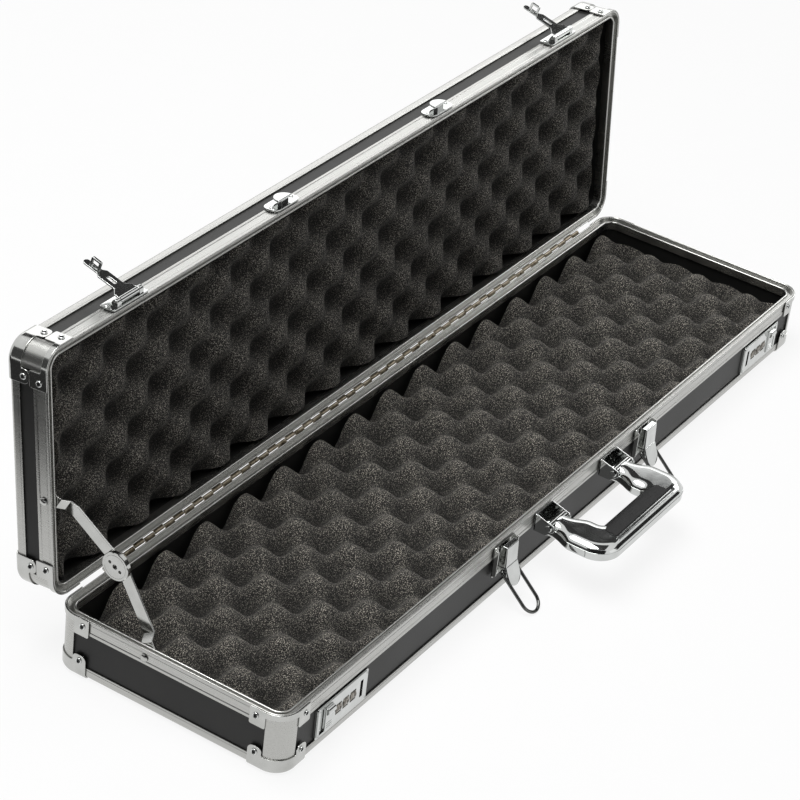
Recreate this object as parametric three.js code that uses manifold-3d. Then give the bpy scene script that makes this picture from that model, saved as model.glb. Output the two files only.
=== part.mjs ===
// Hard case for a pool cue, lying open: black boards held in aluminium edges, foam in both halves,
// draw latches, combination locks with swinging hasps, a carrying handle, a long hinge and a lid stay.
// Millimetres, +Z up. X runs along the case, the front is -Y, the origin is the middle of the underside.

import * as THREE from 'three';
import { mergeVertices } from 'three/addons/utils/BufferGeometryUtils.js';
import Module from 'manifold-3d';

const wasm = await Module();
wasm.setup();

// Overall sizes of the case

const caseLength = 800;
const caseWidth = 201;
const baseHeight = 52;
const lidHeight = 34.5;
const partingGap = 0.3;
const lidOpenAngle = THREE.MathUtils.degToRad(94.9);
const cornerRadius = 16;
const cornerSteps = 3;
const leastCorner = 1;
const plateCorner = 2;
const smallCorner = 1;
const clearance = 0.3;

// Aluminium edges and the boards between them

const sheet = 1;
const edgeHeight = 9;
const edgeUnder = 11;
const edgeRound = 3.5;
const rimHeight = 13;
const rimBead = 2.4;
const rimHollow = 0.4;
const rimGrooveDepth = 3.2;
const rimLipWidth = 1.3;
const rimInnerLipWidth = 2;
const rimInnerDrop = 1.4;
const rimInnerLeg = 9;
const rimLipRound = 0.4;
const wallThickness = 4.5;
const floorThickness = 4;

// Foam with staggered peaks

const foamPitch = 50.8;
const foamPhaseX = -10.6;
const foamPhaseY = 12.1;
const baseFoamThickness = 38;
const baseFoamWave = 11;
const lidFoamThickness = 25;
const lidFoamWave = 7;
const foamGap = 0.6;
const foamStepsPerPitch = 4;

// Corner caps and corner brackets

const fittingSheet = 1;
const capReach = 28.5;
const capHeight = 19;
const capDip = 12;
const capLip = 9;
const capEarRound = 5;
const capRivetReach = 22.5;
const capRivetHeight = 14;
const bracketReach = 29.5;
const bracketHeight = 15.4;
const bracketBand = 5;
const bracketEarRound = 1.5;
const bracketRivetReach = 24;
const bracketRivetDrop = 6.5;
const bracketTopDrop = 0.1;
const rivetRadius = 2.2;
const rivetHeight = 1.1;
const headCrown = 0.62;

// Hinge along the back

const hingeLeftInset = 55;
const hingeRightInset = 50;
const knuckleCount = 19;
const knuckleRadius = 1.9;
const knuckleAxisOutset = 2.3;
const knuckleGap = 0.4;
const pinRadius = 0.8;
const leafThickness = 1;
const leafDrop = 12.6;
const leafNotch = 2.6;

// Lid stay at the left end

const stayKneeBow = 17.8;
const stayArmWidth = 10;
const stayArmThickness = 1.4;
const stayBasePivotFromHinge = 80.8;
const stayBasePivotDrop = 7.5;
const stayLidPivotFromHinge = 83.3;
const stayLidPivotRise = 7.5;
const stayDiscRadius = 11.5;
const stayDiscThickness = 4;
const stayDiscHole = 2;
const stayDiscHoleDepth = 2;
const stayCrankAlong = 19.7;
const stayCrankOffset = -4.4;
const stayStepStart = 8;
const stayStepRun = 5;
const stayRivetRadius = 1.6;
const stayRivetHead = 3.2;
const stayRivetHeadHeight = 1.2;

// Carrying handle

const handleBracketSpacing = 51;
const handleBracketWidth = 26;
const handleBracketTopDrop = 2;
const handleBracketHeight = 15.3;
const handleEarThickness = 1.4;
const handleEarReach = 18.5;
const handleEarFront = 7;
const handleEarArc = [-60, 60];
const handlePivotOutset = 13.5;
const handlePivotDrop = 9.8;
const handlePinRadius = 1.8;
const handlePinHead = 2.8;
const handlePinHeadHeight = 1.2;
const handleBossRadius = 4;
const handleShoulder = 18;
const handleReach = 69.5;
const handleTopRise = 1.3;
const handleThickness = 10;
const handleCornerRadius = 21;
const handleEdgeBevel = 2;
const handleThroat = 18;
const handleOpeningRound = 4;
const handleBarWidth = 27;
const handleFlareStart = 5;
const handleFlareEnd = 19;
const handleArmRear = 6.5;
const handleHeelThickness = 4;
const handleRibWidth = 1.4;
const handleRibHeight = 0.8;
const handleRibPitch = 3.6;
const gripEndInset = 27;
const gripWidth = 14.5;
const gripDepth = 7;
const gripRise = 0.4;

// Draw latches and their keepers

const latchSpacing = 110;
const latchPlateWidth = 30;
const latchPlateHeight = 28;
const latchPlateDrop = 2;
const latchPlateThickness = 1.2;
const latchFlangeHeight = 3.2;
const latchFlangeInset = 2;
const latchFlangeLowRound = 3;
const latchFlangeTopRound = 1;
const latchPivotOutset = 5.6;
const latchPivotDrop = 3.5;
const latchPinRadius = 1;
const latchLugWidth = 1.6;
const latchLugInset = 4;
const latchLugRadius = 1.5;
const latchLugArc = [-40, 130];
const latchLugRise = 2;
const latchLugFoot = 9;
const leverWidth = 16;
const leverWall = 1.2;
const leverCover = 1.1;
const leverTop = 1.5;
const leverFront = 2.9;
const leverFrontLow = 3.9;
const leverBack = 3.4;
const leverSeam = 17.5;
const leverBoxLength = 24;
const leverLength = 34.5;
const leverTipOut = 8.6;
const leverTipThickness = 1.9;
const bailDrop = 21;
const bailOutset = 0.9;
const bailLength = 40;
const bailWireRadius = 1.15;
const bailHalfWidth = 9.5;
const bailBend = 1.6;
const bailLean = THREE.MathUtils.degToRad(47);
const keeperWidth = 33;
const keeperHeight = 15;
const keeperRise = 1.5;
const keeperThickness = 1.2;
const keeperCorner = 6;
const hookHalfWidth = 8.5;
const hookRise = 5.5;
const hookHeight = 9.5;
const hookStemHalf = 4.5;
const hookStemHeight = 4;
const keeperScrewInset = 3.5;
const screwRadius = 1.8;
const hookPlateOutset = 4.6;
const hookPlateThickness = 1.8;

// Combination locks and their hasps

const lockEndInset = 72;
const lockPlateLength = 64.5;
const lockPlateHeight = 27.5;
const lockPlateOutset = 1.5;
const lockCenterHeight = 23.7;
const lockCaseLength = 58;
const lockCaseHeight = 21;
const lockCaseDepth = 9.8;
const lockScrewInset = 2.4;
const lockScrewRadius = 1.6;
const lockScrewHeight = 0.4;
const slotOffset = -24;
const slotWidth = 3.5;
const slotHeight = 15;
const dialCount = 3;
const dialOffset = -4;
const dialPitch = 9.2;
const dialPocketWidth = 7.2;
const dialWidth = 6.6;
const dialRadius = 6;
const dialRise = 1.1;
const dialSides = 20;
const dialWindowHeight = 9;
const dialWindowSheet = 0.6;
const dialSpindleRadius = 1;
const buttonOffset = 18.5;
const buttonWidth = 9.4;
const buttonHeight = 21.6;
const buttonOutset = 2.9;
const buttonRecessDepth = 1.3;
const buttonTravel = 4;
const buttonTravelSpare = 1;
const buttonBumpHeight = 6;
const buttonBumpOutset = 5.4;
const haspPlateLength = 40;
const haspPlateHeight = 14;
const haspPlateRise = 1.2;
const haspPlateThickness = 1.2;
const haspPinOutset = 4.5;
const haspPinRise = 4.7;
const haspPinRadius = 1.2;
const haspLugRadius = 2.6;
const haspLugArc = [-90, 60];
const haspLugWidth = 4.5;
const haspLugInner = 10.6;
const haspScrewInset = 2.4;
const haspArmThickness = 1.4;
const haspArmNormal = 0.9;
const haspArmLength = 42;
const haspArmWidth = 11;
const haspTipWidth = 6;
const haspShoulder = 5;
const haspNeck = 9;
const haspSlotStart = 12;
const haspSlotEnd = 20;
const haspSlotWidth = 3;
const haspStapleStart = 27.5;
const haspStapleLength = 9;
const haspStapleHeight = 7.5;
const haspStapleWire = 1.8;
const haspStapleWidth = 2;
const haspOpenAngle = THREE.MathUtils.degToRad(160);

// Places that follow from the sizes above

const halfLength = caseLength / 2;
const halfWidth = caseWidth / 2;
const lockSpacing = halfLength - lockEndInset;
const hingeLength = caseLength - hingeLeftInset - hingeRightInset;
const handleHalfLength = handleBracketSpacing + handleShoulder;
const handleOpeningHalf = handleBracketSpacing - handleThroat;
const gripHalfLength = handleHalfLength - gripEndInset;
const hingeShift = (hingeLeftInset - hingeRightInset) / 2;
const closedHeight = baseHeight + partingGap + lidHeight;
const hingeY = halfWidth + knuckleAxisOutset;
const hingeZ = baseHeight + partingGap / 2;
const wallOuter = sheet + clearance;
const wallInner = wallOuter + wallThickness;
const rimLegOuter = wallInner + clearance;
const rimInner = rimLegOuter + sheet;
const rimWebDepth = rimGrooveDepth + sheet;
const fittingOuter = clearance + fittingSheet;
const bite = 0.5;
const stayUpperLayer = stayDiscThickness + clearance;
const stayLowerLayer = stayUpperLayer + stayArmThickness + clearance;
const foamEndSpace = rimInner + clearance + stayLowerLayer + stayArmThickness + foamGap;
const foamSideSpace = lockCaseDepth + foamGap;

// Materials

const aluminium = new THREE.MeshStandardMaterial({ color: 0xa9a9a2, roughness: 0.38, metalness: 0.9 });
const fittingMetal = new THREE.MeshStandardMaterial({ color: 0xb2b3ad, roughness: 0.3, metalness: 0.95 });
const chrome = new THREE.MeshStandardMaterial({ color: 0xd9dcda, roughness: 0.08, metalness: 1 });
const blackBoard = new THREE.MeshStandardMaterial({ color: 0x2b2b28, roughness: 0.55, metalness: 0 });
const greyFoam = new THREE.MeshStandardMaterial({ color: 0x35322d, roughness: 0.95, metalness: 0 });
const blackGrip = new THREE.MeshStandardMaterial({ color: 0x191a19, roughness: 0.6, metalness: 0 });
const dialBrass = new THREE.MeshStandardMaterial({ color: 0x8d857a, roughness: 0.35, metalness: 0.8 });
const hingeSteel = new THREE.MeshStandardMaterial({ color: 0x9a8f7c, roughness: 0.4, metalness: 0.8 });

// Turning meshes into solids and back

function toSolid(geometry) {
  const bare = geometry.clone();
  bare.deleteAttribute('normal');
  bare.deleteAttribute('uv');
  const merged = mergeVertices(bare);
  const vertProperties = new Float32Array(merged.attributes.position.array);
  const triVerts = new Uint32Array(merged.index.array);
  return new wasm.Manifold(new wasm.Mesh({ numProp: 3, vertProperties, triVerts }));
}

function toGeometry(solid) {
  const mesh = solid.getMesh();
  const geometry = new THREE.BufferGeometry();
  geometry.setAttribute('position', new THREE.BufferAttribute(mesh.vertProperties, 3));
  geometry.setIndex(new THREE.BufferAttribute(mesh.triVerts, 1));
  return geometry;
}

function join(...geometries) {
  return toGeometry(geometries.map(toSolid).reduce((whole, next) => whole.add(next)));
}

function cut(geometry, ...tools) {
  return toGeometry(tools.map(toSolid).reduce((whole, next) => whole.subtract(next), toSolid(geometry)));
}

function common(first, second) {
  return toGeometry(toSolid(first).intersect(toSolid(second)));
}

function piece(name, geometry, material) {
  const mesh = new THREE.Mesh(toGeometry(toSolid(geometry)), material);
  mesh.name = name;
  mesh.geometry.computeVertexNormals();
  return mesh;
}

// Outlines

function arc(x, y, radius, from, to, steps) {
  return Array.from({ length: steps + 1 }, (_, i) => {
    const angle = THREE.MathUtils.degToRad(from + ((to - from) * i) / steps);
    return [x + radius * Math.cos(angle), y + radius * Math.sin(angle)];
  });
}

function circle(x, y, radius, steps) {
  return arc(x, y, radius, 0, 360, steps).slice(0, steps);
}

function roundedBox(x0, y0, x1, y1, radius, steps = 3) {
  return [
    ...arc(x1 - radius, y1 - radius, radius, 0, 90, steps),
    ...arc(x0 + radius, y1 - radius, radius, 90, 180, steps),
    ...arc(x0 + radius, y0 + radius, radius, 180, 270, steps),
    ...arc(x1 - radius, y0 + radius, radius, 270, 360, steps),
  ];
}

function box(x0, y0, x1, y1) {
  return [[x0, y0], [x1, y0], [x1, y1], [x0, y1]];
}

function extrude(outline, depth, holes = []) {
  const shape = new THREE.Shape(outline.map((point) => new THREE.Vector2(...point)));
  shape.holes = holes.map((hole) => new THREE.Path(hole.map((point) => new THREE.Vector2(...point))));
  return new THREE.ExtrudeGeometry(shape, { depth, bevelEnabled: false });
}

// An outline in x and z, seen from the front, standing off the front face by outset

function frontPlate(outline, outset, thickness, holes = []) {
  const plate = extrude(outline, thickness, holes);
  plate.rotateX(Math.PI / 2);
  plate.translate(0, -halfWidth - outset, 0);
  return plate;
}

// An outline in outset and z, run along X for a width with its middle at x = 0

function frontBar(outline, width, holes = []) {
  const bar = extrude(outline, width, holes);
  bar.rotateX(Math.PI / 2);
  bar.rotateZ(-Math.PI / 2);
  bar.translate(width / 2, -halfWidth, 0);
  return bar;
}

// A round bar along X on the front, at an outset and a height

function frontPin(outset, z, radius, width, steps) {
  return frontBar(circle(outset, z, radius, steps), width);
}

// A domed head lying on a face that looks along +Z

function head(radius, height, steps = 8) {
  const dome = new THREE.CylinderGeometry(radius * headCrown, radius, height, steps);
  dome.rotateX(Math.PI / 2);
  dome.translate(0, 0, height / 2);
  return dome;
}

// An outline in y and z, run along X for a width with its middle at x = 0

function alongX(outline, width, holes = []) {
  const bar = extrude(outline, width, holes);
  bar.applyMatrix4(new THREE.Matrix4().set(0, 0, 1, -width / 2, 1, 0, 0, 0, 0, 1, 0, 0, 0, 0, 0, 1));
  return bar;
}

// The same head on the front face, looking along -Y

function frontHead(x, z, outset, radius, height) {
  const dome = head(radius, height);
  dome.rotateX(Math.PI / 2);
  dome.translate(x, -halfWidth - outset, z);
  return dome;
}

// A closed profile of inset and height points, carried along stations that each have a point on the
// outer edge and the direction of the insets across it

function sweep(profile, stations, closed) {
  const points = profile.map((point) => new THREE.Vector2(...point));
  if (THREE.ShapeUtils.isClockWise(points)) points.reverse();
  const count = points.length;
  const positions = [];
  for (const { edge, across } of stations) {
    for (const point of points) {
      positions.push(edge[0] + across[0] * point.x, edge[1] + across[1] * point.x, point.y);
    }
  }
  const index = [];
  const spans = closed ? stations.length : stations.length - 1;
  for (let i = 0; i < spans; i += 1) {
    const here = i * count;
    const next = ((i + 1) % stations.length) * count;
    for (let j = 0; j < count; j += 1) {
      const k = (j + 1) % count;
      index.push(here + j, here + k, next + k, here + j, next + k, next + j);
    }
  }
  if (!closed) {
    const last = (stations.length - 1) * count;
    for (const [a, b, c] of THREE.ShapeUtils.triangulateShape(points, [])) {
      index.push(a, c, b, last + a, last + b, last + c);
    }
  }
  const geometry = new THREE.BufferGeometry();
  geometry.setAttribute('position', new THREE.Float32BufferAttribute(positions, 3));
  geometry.setIndex(index);
  return geometry;
}

// Stations round one corner of the case, about the centre of its arc

function cornerStations(radius, from, to, steps, x = 0, y = 0) {
  return arc(0, 0, 1, from, to, steps).map(([dx, dy]) => ({
    edge: [x + radius * dx, y + radius * dy],
    across: [-dx, -dy],
  }));
}

// Stations round the whole case

function rectangleStations() {
  const x = halfLength - cornerRadius;
  const y = halfWidth - cornerRadius;
  return [
    ...cornerStations(cornerRadius, 0, 90, cornerSteps, x, y),
    ...cornerStations(cornerRadius, 90, 180, cornerSteps, -x, y),
    ...cornerStations(cornerRadius, 180, 270, cornerSteps, -x, -y),
    ...cornerStations(cornerRadius, 270, 360, cornerSteps, x, -y),
  ];
}

// The four corners of one half, with the turn that brings a corner fitting to each

function corners(turned) {
  const places = [
    ['right', 'back', 1, 1, 0],
    ['left', 'back', -1, 1, 90],
    ['left', 'front', -1, -1, 180],
    ['right', 'front', 1, -1, 270],
  ];
  const swapped = { front: 'back', back: 'front' };
  return places.map(([end, side, sx, sy, turn]) => ({
    label: `${end}_${turned ? swapped[side] : side}`,
    x: sx * (halfLength - cornerRadius),
    y: sy * (halfWidth - cornerRadius),
    turn: THREE.MathUtils.degToRad(turn),
  }));
}

// Each half of the case is drawn with its outer face at z = 0 and its rim at z = height

function wallBoards(height) {
  const top = height - rimWebDepth - clearance;
  const chamfer = edgeRound + clearance;
  const outerFace = [[wallOuter, top], [wallOuter, chamfer]];
  const foot = [[chamfer, wallOuter], [wallInner, wallOuter]];
  const profile = [...outerFace, ...foot, [wallInner, top]];
  return sweep(profile, rectangleStations(), true);
}

function floorBoard() {
  const outlineAt = (inset) => {
    const x = halfLength - inset;
    const y = halfWidth - inset;
    return roundedBox(-x, -y, x, y, Math.max(cornerRadius - inset, leastCorner), cornerSteps);
  };
  const insideEdge = extrude(outlineAt(edgeUnder + clearance), wallOuter + floorThickness);
  const insideWalls = extrude(outlineAt(wallInner + clearance), floorThickness);
  insideWalls.translate(0, 0, wallOuter);
  return join(insideEdge, insideWalls);
}

function rimFrame(height) {
  const profile = [
    [0, height - rimHeight],
    [sheet, height - rimHeight],
    [sheet, height - rimWebDepth],
    [rimLegOuter, height - rimWebDepth],
    [rimLegOuter, height - rimInnerLeg],
    [rimInner, height - rimInnerLeg],
    [rimInner, height - rimInnerDrop - rimLipRound],
    [rimInner - rimLipRound, height - rimInnerDrop],
    [rimInner - rimInnerLipWidth + rimLipRound, height - rimInnerDrop],
    [rimInner - rimInnerLipWidth, height - rimInnerDrop - rimLipRound],
    [rimInner - rimInnerLipWidth, height - rimGrooveDepth],
    [rimLipWidth, height - rimGrooveDepth],
    [rimLipWidth, height - rimHollow],
    [rimLipWidth - rimHollow, height],
    [rimHollow, height],
    [0, height - rimHollow],
    [0, height - rimBead],
    [rimHollow, height - rimBead - rimHollow],
    [rimHollow, height - rimHeight + rimBead + rimHollow],
    [0, height - rimHeight + rimBead],
  ];
  return sweep(profile, rectangleStations(), true);
}

function edgeFrame(height) {
  const profile = [
    ...arc(edgeRound, edgeRound, edgeRound, 180, 270, 3),
    [edgeUnder, 0],
    [edgeUnder, sheet],
    [edgeRound, sheet],
    [sheet, edgeRound],
    [sheet, edgeHeight],
    [0, edgeHeight],
  ];
  const ring = sweep(profile, rectangleStations(), true);
  const postProfile = box(0, edgeRound, sheet, height - rimHeight - clearance);
  const posts = corners(false).map(({ x, y, turn }) => {
    const post = sweep(postProfile, cornerStations(cornerRadius, 0, 90, cornerSteps), false);
    post.rotateZ(turn);
    post.translate(x, y, 0);
    return post;
  });
  return join(ring, ...posts);
}

// Corner fittings are drawn about the centre of the corner's arc, with one ear along each side

function fittingStations(reach) {
  const straight = reach - cornerRadius;
  return [
    { edge: [cornerRadius, -straight], across: [-1, 0] },
    ...cornerStations(cornerRadius, 0, 90, cornerSteps),
    { edge: [-straight, cornerRadius], across: [0, -1] },
  ];
}

// A flat outline of distance past the arc and height, and its twin on the other side

function earPair(outline, thickness) {
  const outer = cornerRadius + clearance + thickness;
  const first = extrude(outline, thickness);
  first.applyMatrix4(new THREE.Matrix4().set(0, 0, -1, outer, -1, 0, 0, 0, 0, 1, 0, 0, 0, 0, 0, 1));
  const second = extrude(outline.map(([along, z]) => [-along, z]), thickness);
  second.rotateX(Math.PI / 2);
  second.translate(0, outer, 0);
  return [first, second];
}

function fittingRivets(along, z) {
  const outer = cornerRadius + fittingOuter - bite;
  const first = head(rivetRadius, rivetHeight + bite);
  first.rotateY(Math.PI / 2);
  first.translate(outer, -along, z);
  const second = head(rivetRadius, rivetHeight + bite);
  second.rotateX(-Math.PI / 2);
  second.translate(-along, outer, z);
  return [first, second];
}

function cornerCap() {
  const inner = edgeRound + clearance;
  const outer = inner + fittingSheet;
  const profile = [
    [capLip, -fittingOuter],
    ...arc(edgeRound, edgeRound, outer, 270, 180, 3),
    [-fittingOuter, capDip],
    [-clearance, capDip],
    ...arc(edgeRound, edgeRound, inner, 180, 270, 3),
    [capLip, -clearance],
  ];
  const wrap = sweep(profile, fittingStations(capReach), false);
  const straight = capReach - cornerRadius;
  const ear = [
    [0, edgeRound],
    [straight, edgeRound],
    ...arc(straight - capEarRound, capHeight - capEarRound, capEarRound, 0, 90, 3),
    ...arc(capEarRound, capHeight - capEarRound, capEarRound, 90, 180, 3),
  ];
  const rivets = fittingRivets(capRivetReach - cornerRadius, capRivetHeight);
  return join(wrap, ...earPair(ear, fittingSheet), ...rivets);
}

function cornerBracket(height) {
  const top = height - bracketTopDrop;
  const profile = box(-fittingOuter, top - bracketBand, -clearance, top);
  const band = sweep(profile, fittingStations(bracketReach), false);
  const straight = bracketReach - cornerRadius;
  const low = height - bracketHeight;
  const ear = [
    ...arc(bracketEarRound, low + bracketEarRound, bracketEarRound, 180, 270, 2),
    ...arc(straight - bracketEarRound, low + bracketEarRound, bracketEarRound, 270, 360, 2),
    [straight, top],
    [0, top],
  ];
  const rivets = fittingRivets(bracketRivetReach - cornerRadius, height - bracketRivetDrop);
  return join(band, ...earPair(ear, fittingSheet), ...rivets);
}

// Foam: a flat back and a face of staggered peaks, higher than the mean by the wave and lower by it

function gridLines(from, to, phase) {
  const step = foamPitch / foamStepsPerPitch;
  const first = Math.ceil((from + step / 3 - phase) / step);
  const last = Math.floor((to - step / 3 - phase) / step);
  const inner = Array.from({ length: last - first + 1 }, (_, i) => phase + (first + i) * step);
  return [from, ...inner, to];
}

function foam(thickness, wave, phaseY) {
  const back = wallOuter + floorThickness + clearance;
  const x = halfLength - foamEndSpace;
  const y = halfWidth - foamSideSpace;
  const xs = gridLines(-x, x, foamPhaseX);
  const ys = gridLines(-y, y, phaseY);
  const turns = (2 * Math.PI) / foamPitch;
  const mean = back + thickness - wave;
  const ripple = (p, phase) => Math.cos(turns * (p - phase));
  const face = (px, py) => mean + wave * ripple(px, foamPhaseX) * ripple(py, phaseY);
  const positions = [];
  for (const py of ys) {
    for (const px of xs) positions.push(px, py, face(px, py));
  }
  const across = xs.length;
  const index = [];
  for (let j = 0; j < ys.length - 1; j += 1) {
    for (let i = 0; i < across - 1; i += 1) {
      const a = j * across + i;
      const b = a + 1;
      const c = a + across;
      const d = c + 1;
      if ((i + j) % 2) index.push(a, b, d, a, d, c);
      else index.push(a, b, c, b, d, c);
    }
  }
  const border = [];
  for (let i = 0; i < across; i += 1) border.push(i);
  for (let j = 1; j < ys.length; j += 1) border.push(j * across + across - 1);
  for (let i = across - 2; i >= 0; i -= 1) border.push((ys.length - 1) * across + i);
  for (let j = ys.length - 2; j > 0; j -= 1) border.push(j * across);
  const foot = positions.length / 3;
  for (const k of border) positions.push(positions[3 * k], positions[3 * k + 1], back);
  border.forEach((k, n) => {
    const next = (n + 1) % border.length;
    index.push(k, foot + n, foot + next, k, foot + next, border[next]);
  });
  const outline = border.map((k) => new THREE.Vector2(positions[3 * k], positions[3 * k + 1]));
  for (const [a, b, c] of THREE.ShapeUtils.triangulateShape(outline, [])) {
    index.push(foot + a, foot + c, foot + b);
  }
  const geometry = new THREE.BufferGeometry();
  geometry.setAttribute('position', new THREE.Float32BufferAttribute(positions, 3));
  geometry.setIndex(index);
  return geometry;
}

// One half of the case: boards, edges and corner fittings

function half(prefix, height, turned, rimHoles, wallHoles) {
  const group = new THREE.Group();
  group.add(piece(`${prefix}_wall_boards`, cut(wallBoards(height), ...wallHoles), blackBoard));
  group.add(piece(`${prefix}_panel_board`, floorBoard(), blackBoard));
  group.add(piece(`${prefix}_rim_frame`, cut(rimFrame(height), ...rimHoles), aluminium));
  group.add(piece(`${prefix}_edge_frame`, edgeFrame(height), aluminium));
  for (const { label, x, y, turn } of corners(turned)) {
    const cap = piece(`${prefix}_corner_cap_${label}`, cornerCap(), fittingMetal);
    const bracket = piece(`${prefix}_corner_bracket_${label}`, cornerBracket(height), fittingMetal);
    for (const fitting of [cap, bracket]) {
      fitting.position.set(x, y, 0);
      fitting.rotation.z = turn;
      group.add(fitting);
    }
  }
  return group;
}

// Hinge: two leaves with knuckles in turn, on a pin

function hingeLeaf(onLid) {
  const side = onLid ? 1 : -1;
  const backFace = clearance - knuckleAxisOutset;
  const frontFace = backFace + leafThickness;
  const pitch = hingeLength / knuckleCount;
  const low = side * leafNotch;
  const high = side * leafDrop;
  const leafOutline = box(-hingeLength / 2, Math.min(low, high), hingeLength / 2, Math.max(low, high));
  const leaf = extrude(leafOutline, leafThickness);
  leaf.rotateX(Math.PI / 2);
  leaf.translate(0, frontFace, 0);
  const width = pitch - knuckleGap;
  const barrel = alongX(circle(0, 0, knuckleRadius, 8), width);
  const neck = alongX(box(backFace, 0, frontFace, side * (leafNotch + bite)), width);
  const bore = alongX(circle(0, 0, pinRadius + clearance, 6), pitch);
  const knuckle = cut(join(barrel, neck), bore);
  const knuckles = [];
  for (let i = onLid ? 1 : 0; i < knuckleCount; i += 2) {
    knuckles.push(knuckle.clone().translate((i + 0.5) * pitch - hingeLength / 2, 0, 0));
  }
  return join(leaf, ...knuckles);
}

function hingePin() {
  const pin = new THREE.CylinderGeometry(pinRadius, pinRadius, hingeLength, 8);
  pin.rotateZ(Math.PI / 2);
  return pin;
}

// Lid stay: places in the plane of the left end, as y and z

const stayBasePivot = [hingeY - stayBasePivotFromHinge, baseHeight - stayBasePivotDrop];
const stayLidPivotClosed = [
  hingeY - stayLidPivotFromHinge,
  baseHeight + partingGap + stayLidPivotRise,
];
const stayWallX = -halfLength + rimInner + clearance;

function openPlace([y, z]) {
  const turn = -lidOpenAngle;
  const dy = y - hingeY;
  const dz = z - hingeZ;
  return [
    hingeY + dy * Math.cos(turn) - dz * Math.sin(turn),
    hingeZ + dy * Math.sin(turn) + dz * Math.cos(turn),
  ];
}

// The arms are as long as it takes to bow by the knee's measure when the lid stands open

const stayLidPivot = openPlace(stayLidPivotClosed);
const stayRun = stayLidPivot[0] - stayBasePivot[0];
const stayRise = stayLidPivot[1] - stayBasePivot[1];
const staySpan = Math.hypot(stayRun, stayRise);
const stayArmLength = Math.hypot(staySpan / 2, stayKneeBow);
const stayKnee = [
  stayBasePivot[0] + stayRun / 2 - (stayKneeBow * stayRise) / staySpan,
  stayBasePivot[1] + stayRise / 2 + (stayKneeBow * stayRun) / staySpan,
];

// An arm runs along +X of its drawing from its rivet, in layers that count away from the end wall

function stayArm(layer, crank) {
  const near = 0;
  const far = layer;
  const t = stayArmThickness;
  const start = stayStepStart;
  const end = stayStepStart + stayStepRun;
  const tip = stayArmLength + stayArmWidth;
  const strip = [
    [-stayArmWidth, near],
    [start, near],
    [end, far],
    [tip, far],
    [tip, far + t],
    [end - t / 2, far + t],
    [start - t / 2, near + t],
    [-stayArmWidth, near + t],
  ];
  const wide = 4 * stayArmWidth;
  const bent = extrude(strip, wide);
  bent.rotateX(Math.PI / 2);
  bent.translate(0, wide / 2, 0);
  const r = stayArmWidth / 2;
  const bend = crank ? [[stayCrankAlong, stayCrankOffset]] : [];
  const spine = [[0, 0], ...bend, [stayArmLength, 0]];
  const tall = far + 4 * t;
  const legs = spine.slice(1).map((to, i) => {
    const from = spine[i];
    const length = Math.hypot(to[0] - from[0], to[1] - from[1]);
    const leg = extrude([...arc(0, 0, r, 90, 270, 6), ...arc(length, 0, r, 270, 450, 6)], tall);
    leg.rotateZ(Math.atan2(to[1] - from[1], to[0] - from[0]));
    leg.translate(from[0], from[1], -t);
    return leg;
  });
  const hole = extrude(circle(0, 0, stayRivetRadius + clearance, 12), tall);
  hole.translate(0, 0, -t);
  return cut(common(bent, join(...legs)), hole);
}

// Lays a drawing in along, across and layer in the end plane, aimed from one point to another

function inEndPlane(name, drawing, from, to) {
  drawing.applyMatrix4(new THREE.Matrix4().set(0, 0, 1, 0, 1, 0, 0, 0, 0, 1, 0, 0, 0, 0, 0, 1));
  const mesh = piece(name, drawing, fittingMetal);
  mesh.position.set(stayWallX, from[0], from[1]);
  mesh.rotation.x = Math.atan2(to[1] - from[1], to[0] - from[0]);
  return mesh;
}

function stayDisc() {
  const ring = extrude(circle(0, 0, stayDiscRadius, 24), stayDiscThickness);
  const hole = extrude(circle(0, 0, stayDiscHole, 10), stayDiscHoleDepth + bite);
  hole.translate(0, 0, -bite);
  return cut(ring, hole);
}

function stayRivet() {
  const inside = rimInner + clearance + stayArmThickness + clearance;
  const shank = extrude(circle(0, 0, stayRivetRadius, 12), inside + clearance + 2 * bite);
  shank.translate(0, 0, -clearance - bite);
  const outerHead = extrude(circle(0, 0, stayRivetHead, 12), stayRivetHeadHeight);
  outerHead.translate(0, 0, -clearance - stayRivetHeadHeight);
  const innerHead = extrude(circle(0, 0, stayRivetHead, 12), stayRivetHeadHeight);
  innerHead.translate(0, 0, inside);
  const rivet = join(shank, outerHead, innerHead);
  rivet.rotateY(Math.PI / 2);
  return rivet;
}

function stayBore(y, z) {
  const bore = extrude(circle(0, 0, stayRivetRadius + clearance, 12), 4 * rimInner);
  bore.rotateY(Math.PI / 2);
  bore.translate(-halfLength - rimInner, y, z);
  return bore;
}

// Handle: two brackets, each a back plate with two ears and a pin, and a swinging bar with a grip

function handleBracket() {
  const top = baseHeight - handleBracketTopDrop;
  const low = top - handleBracketHeight;
  const pivotZ = baseHeight - handlePivotDrop;
  const middle = handleBracketWidth / 2;
  const plate = frontPlate(roundedBox(-middle, low, middle, top, smallCorner), clearance, handleEarThickness);
  const round = handleEarFront / 2;
  const ear = [
    [clearance, low],
    [handlePivotOutset - round, low],
    ...arc(handleEarReach - round, pivotZ, round, ...handleEarArc, 4),
    [clearance, top],
  ];
  const pin = frontPin(handlePivotOutset, pivotZ, handlePinRadius, handleBracketWidth, 12);
  const sides = [-1, 1].flatMap((side) => {
    const cheek = frontBar(ear, handleEarThickness);
    cheek.translate(side * (middle - handleEarThickness / 2), 0, 0);
    const knob = frontPin(handlePivotOutset, pivotZ, handlePinHead, handlePinHeadHeight + bite, 12);
    knob.translate((side * (2 * middle + handlePinHeadHeight - bite)) / 2, 0, 0);
    return [cheek, knob];
  });
  return join(plate, pin, ...sides);
}

// The bar and the grip are drawn about the pivot axis, with the bar reaching out along -Y

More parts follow.
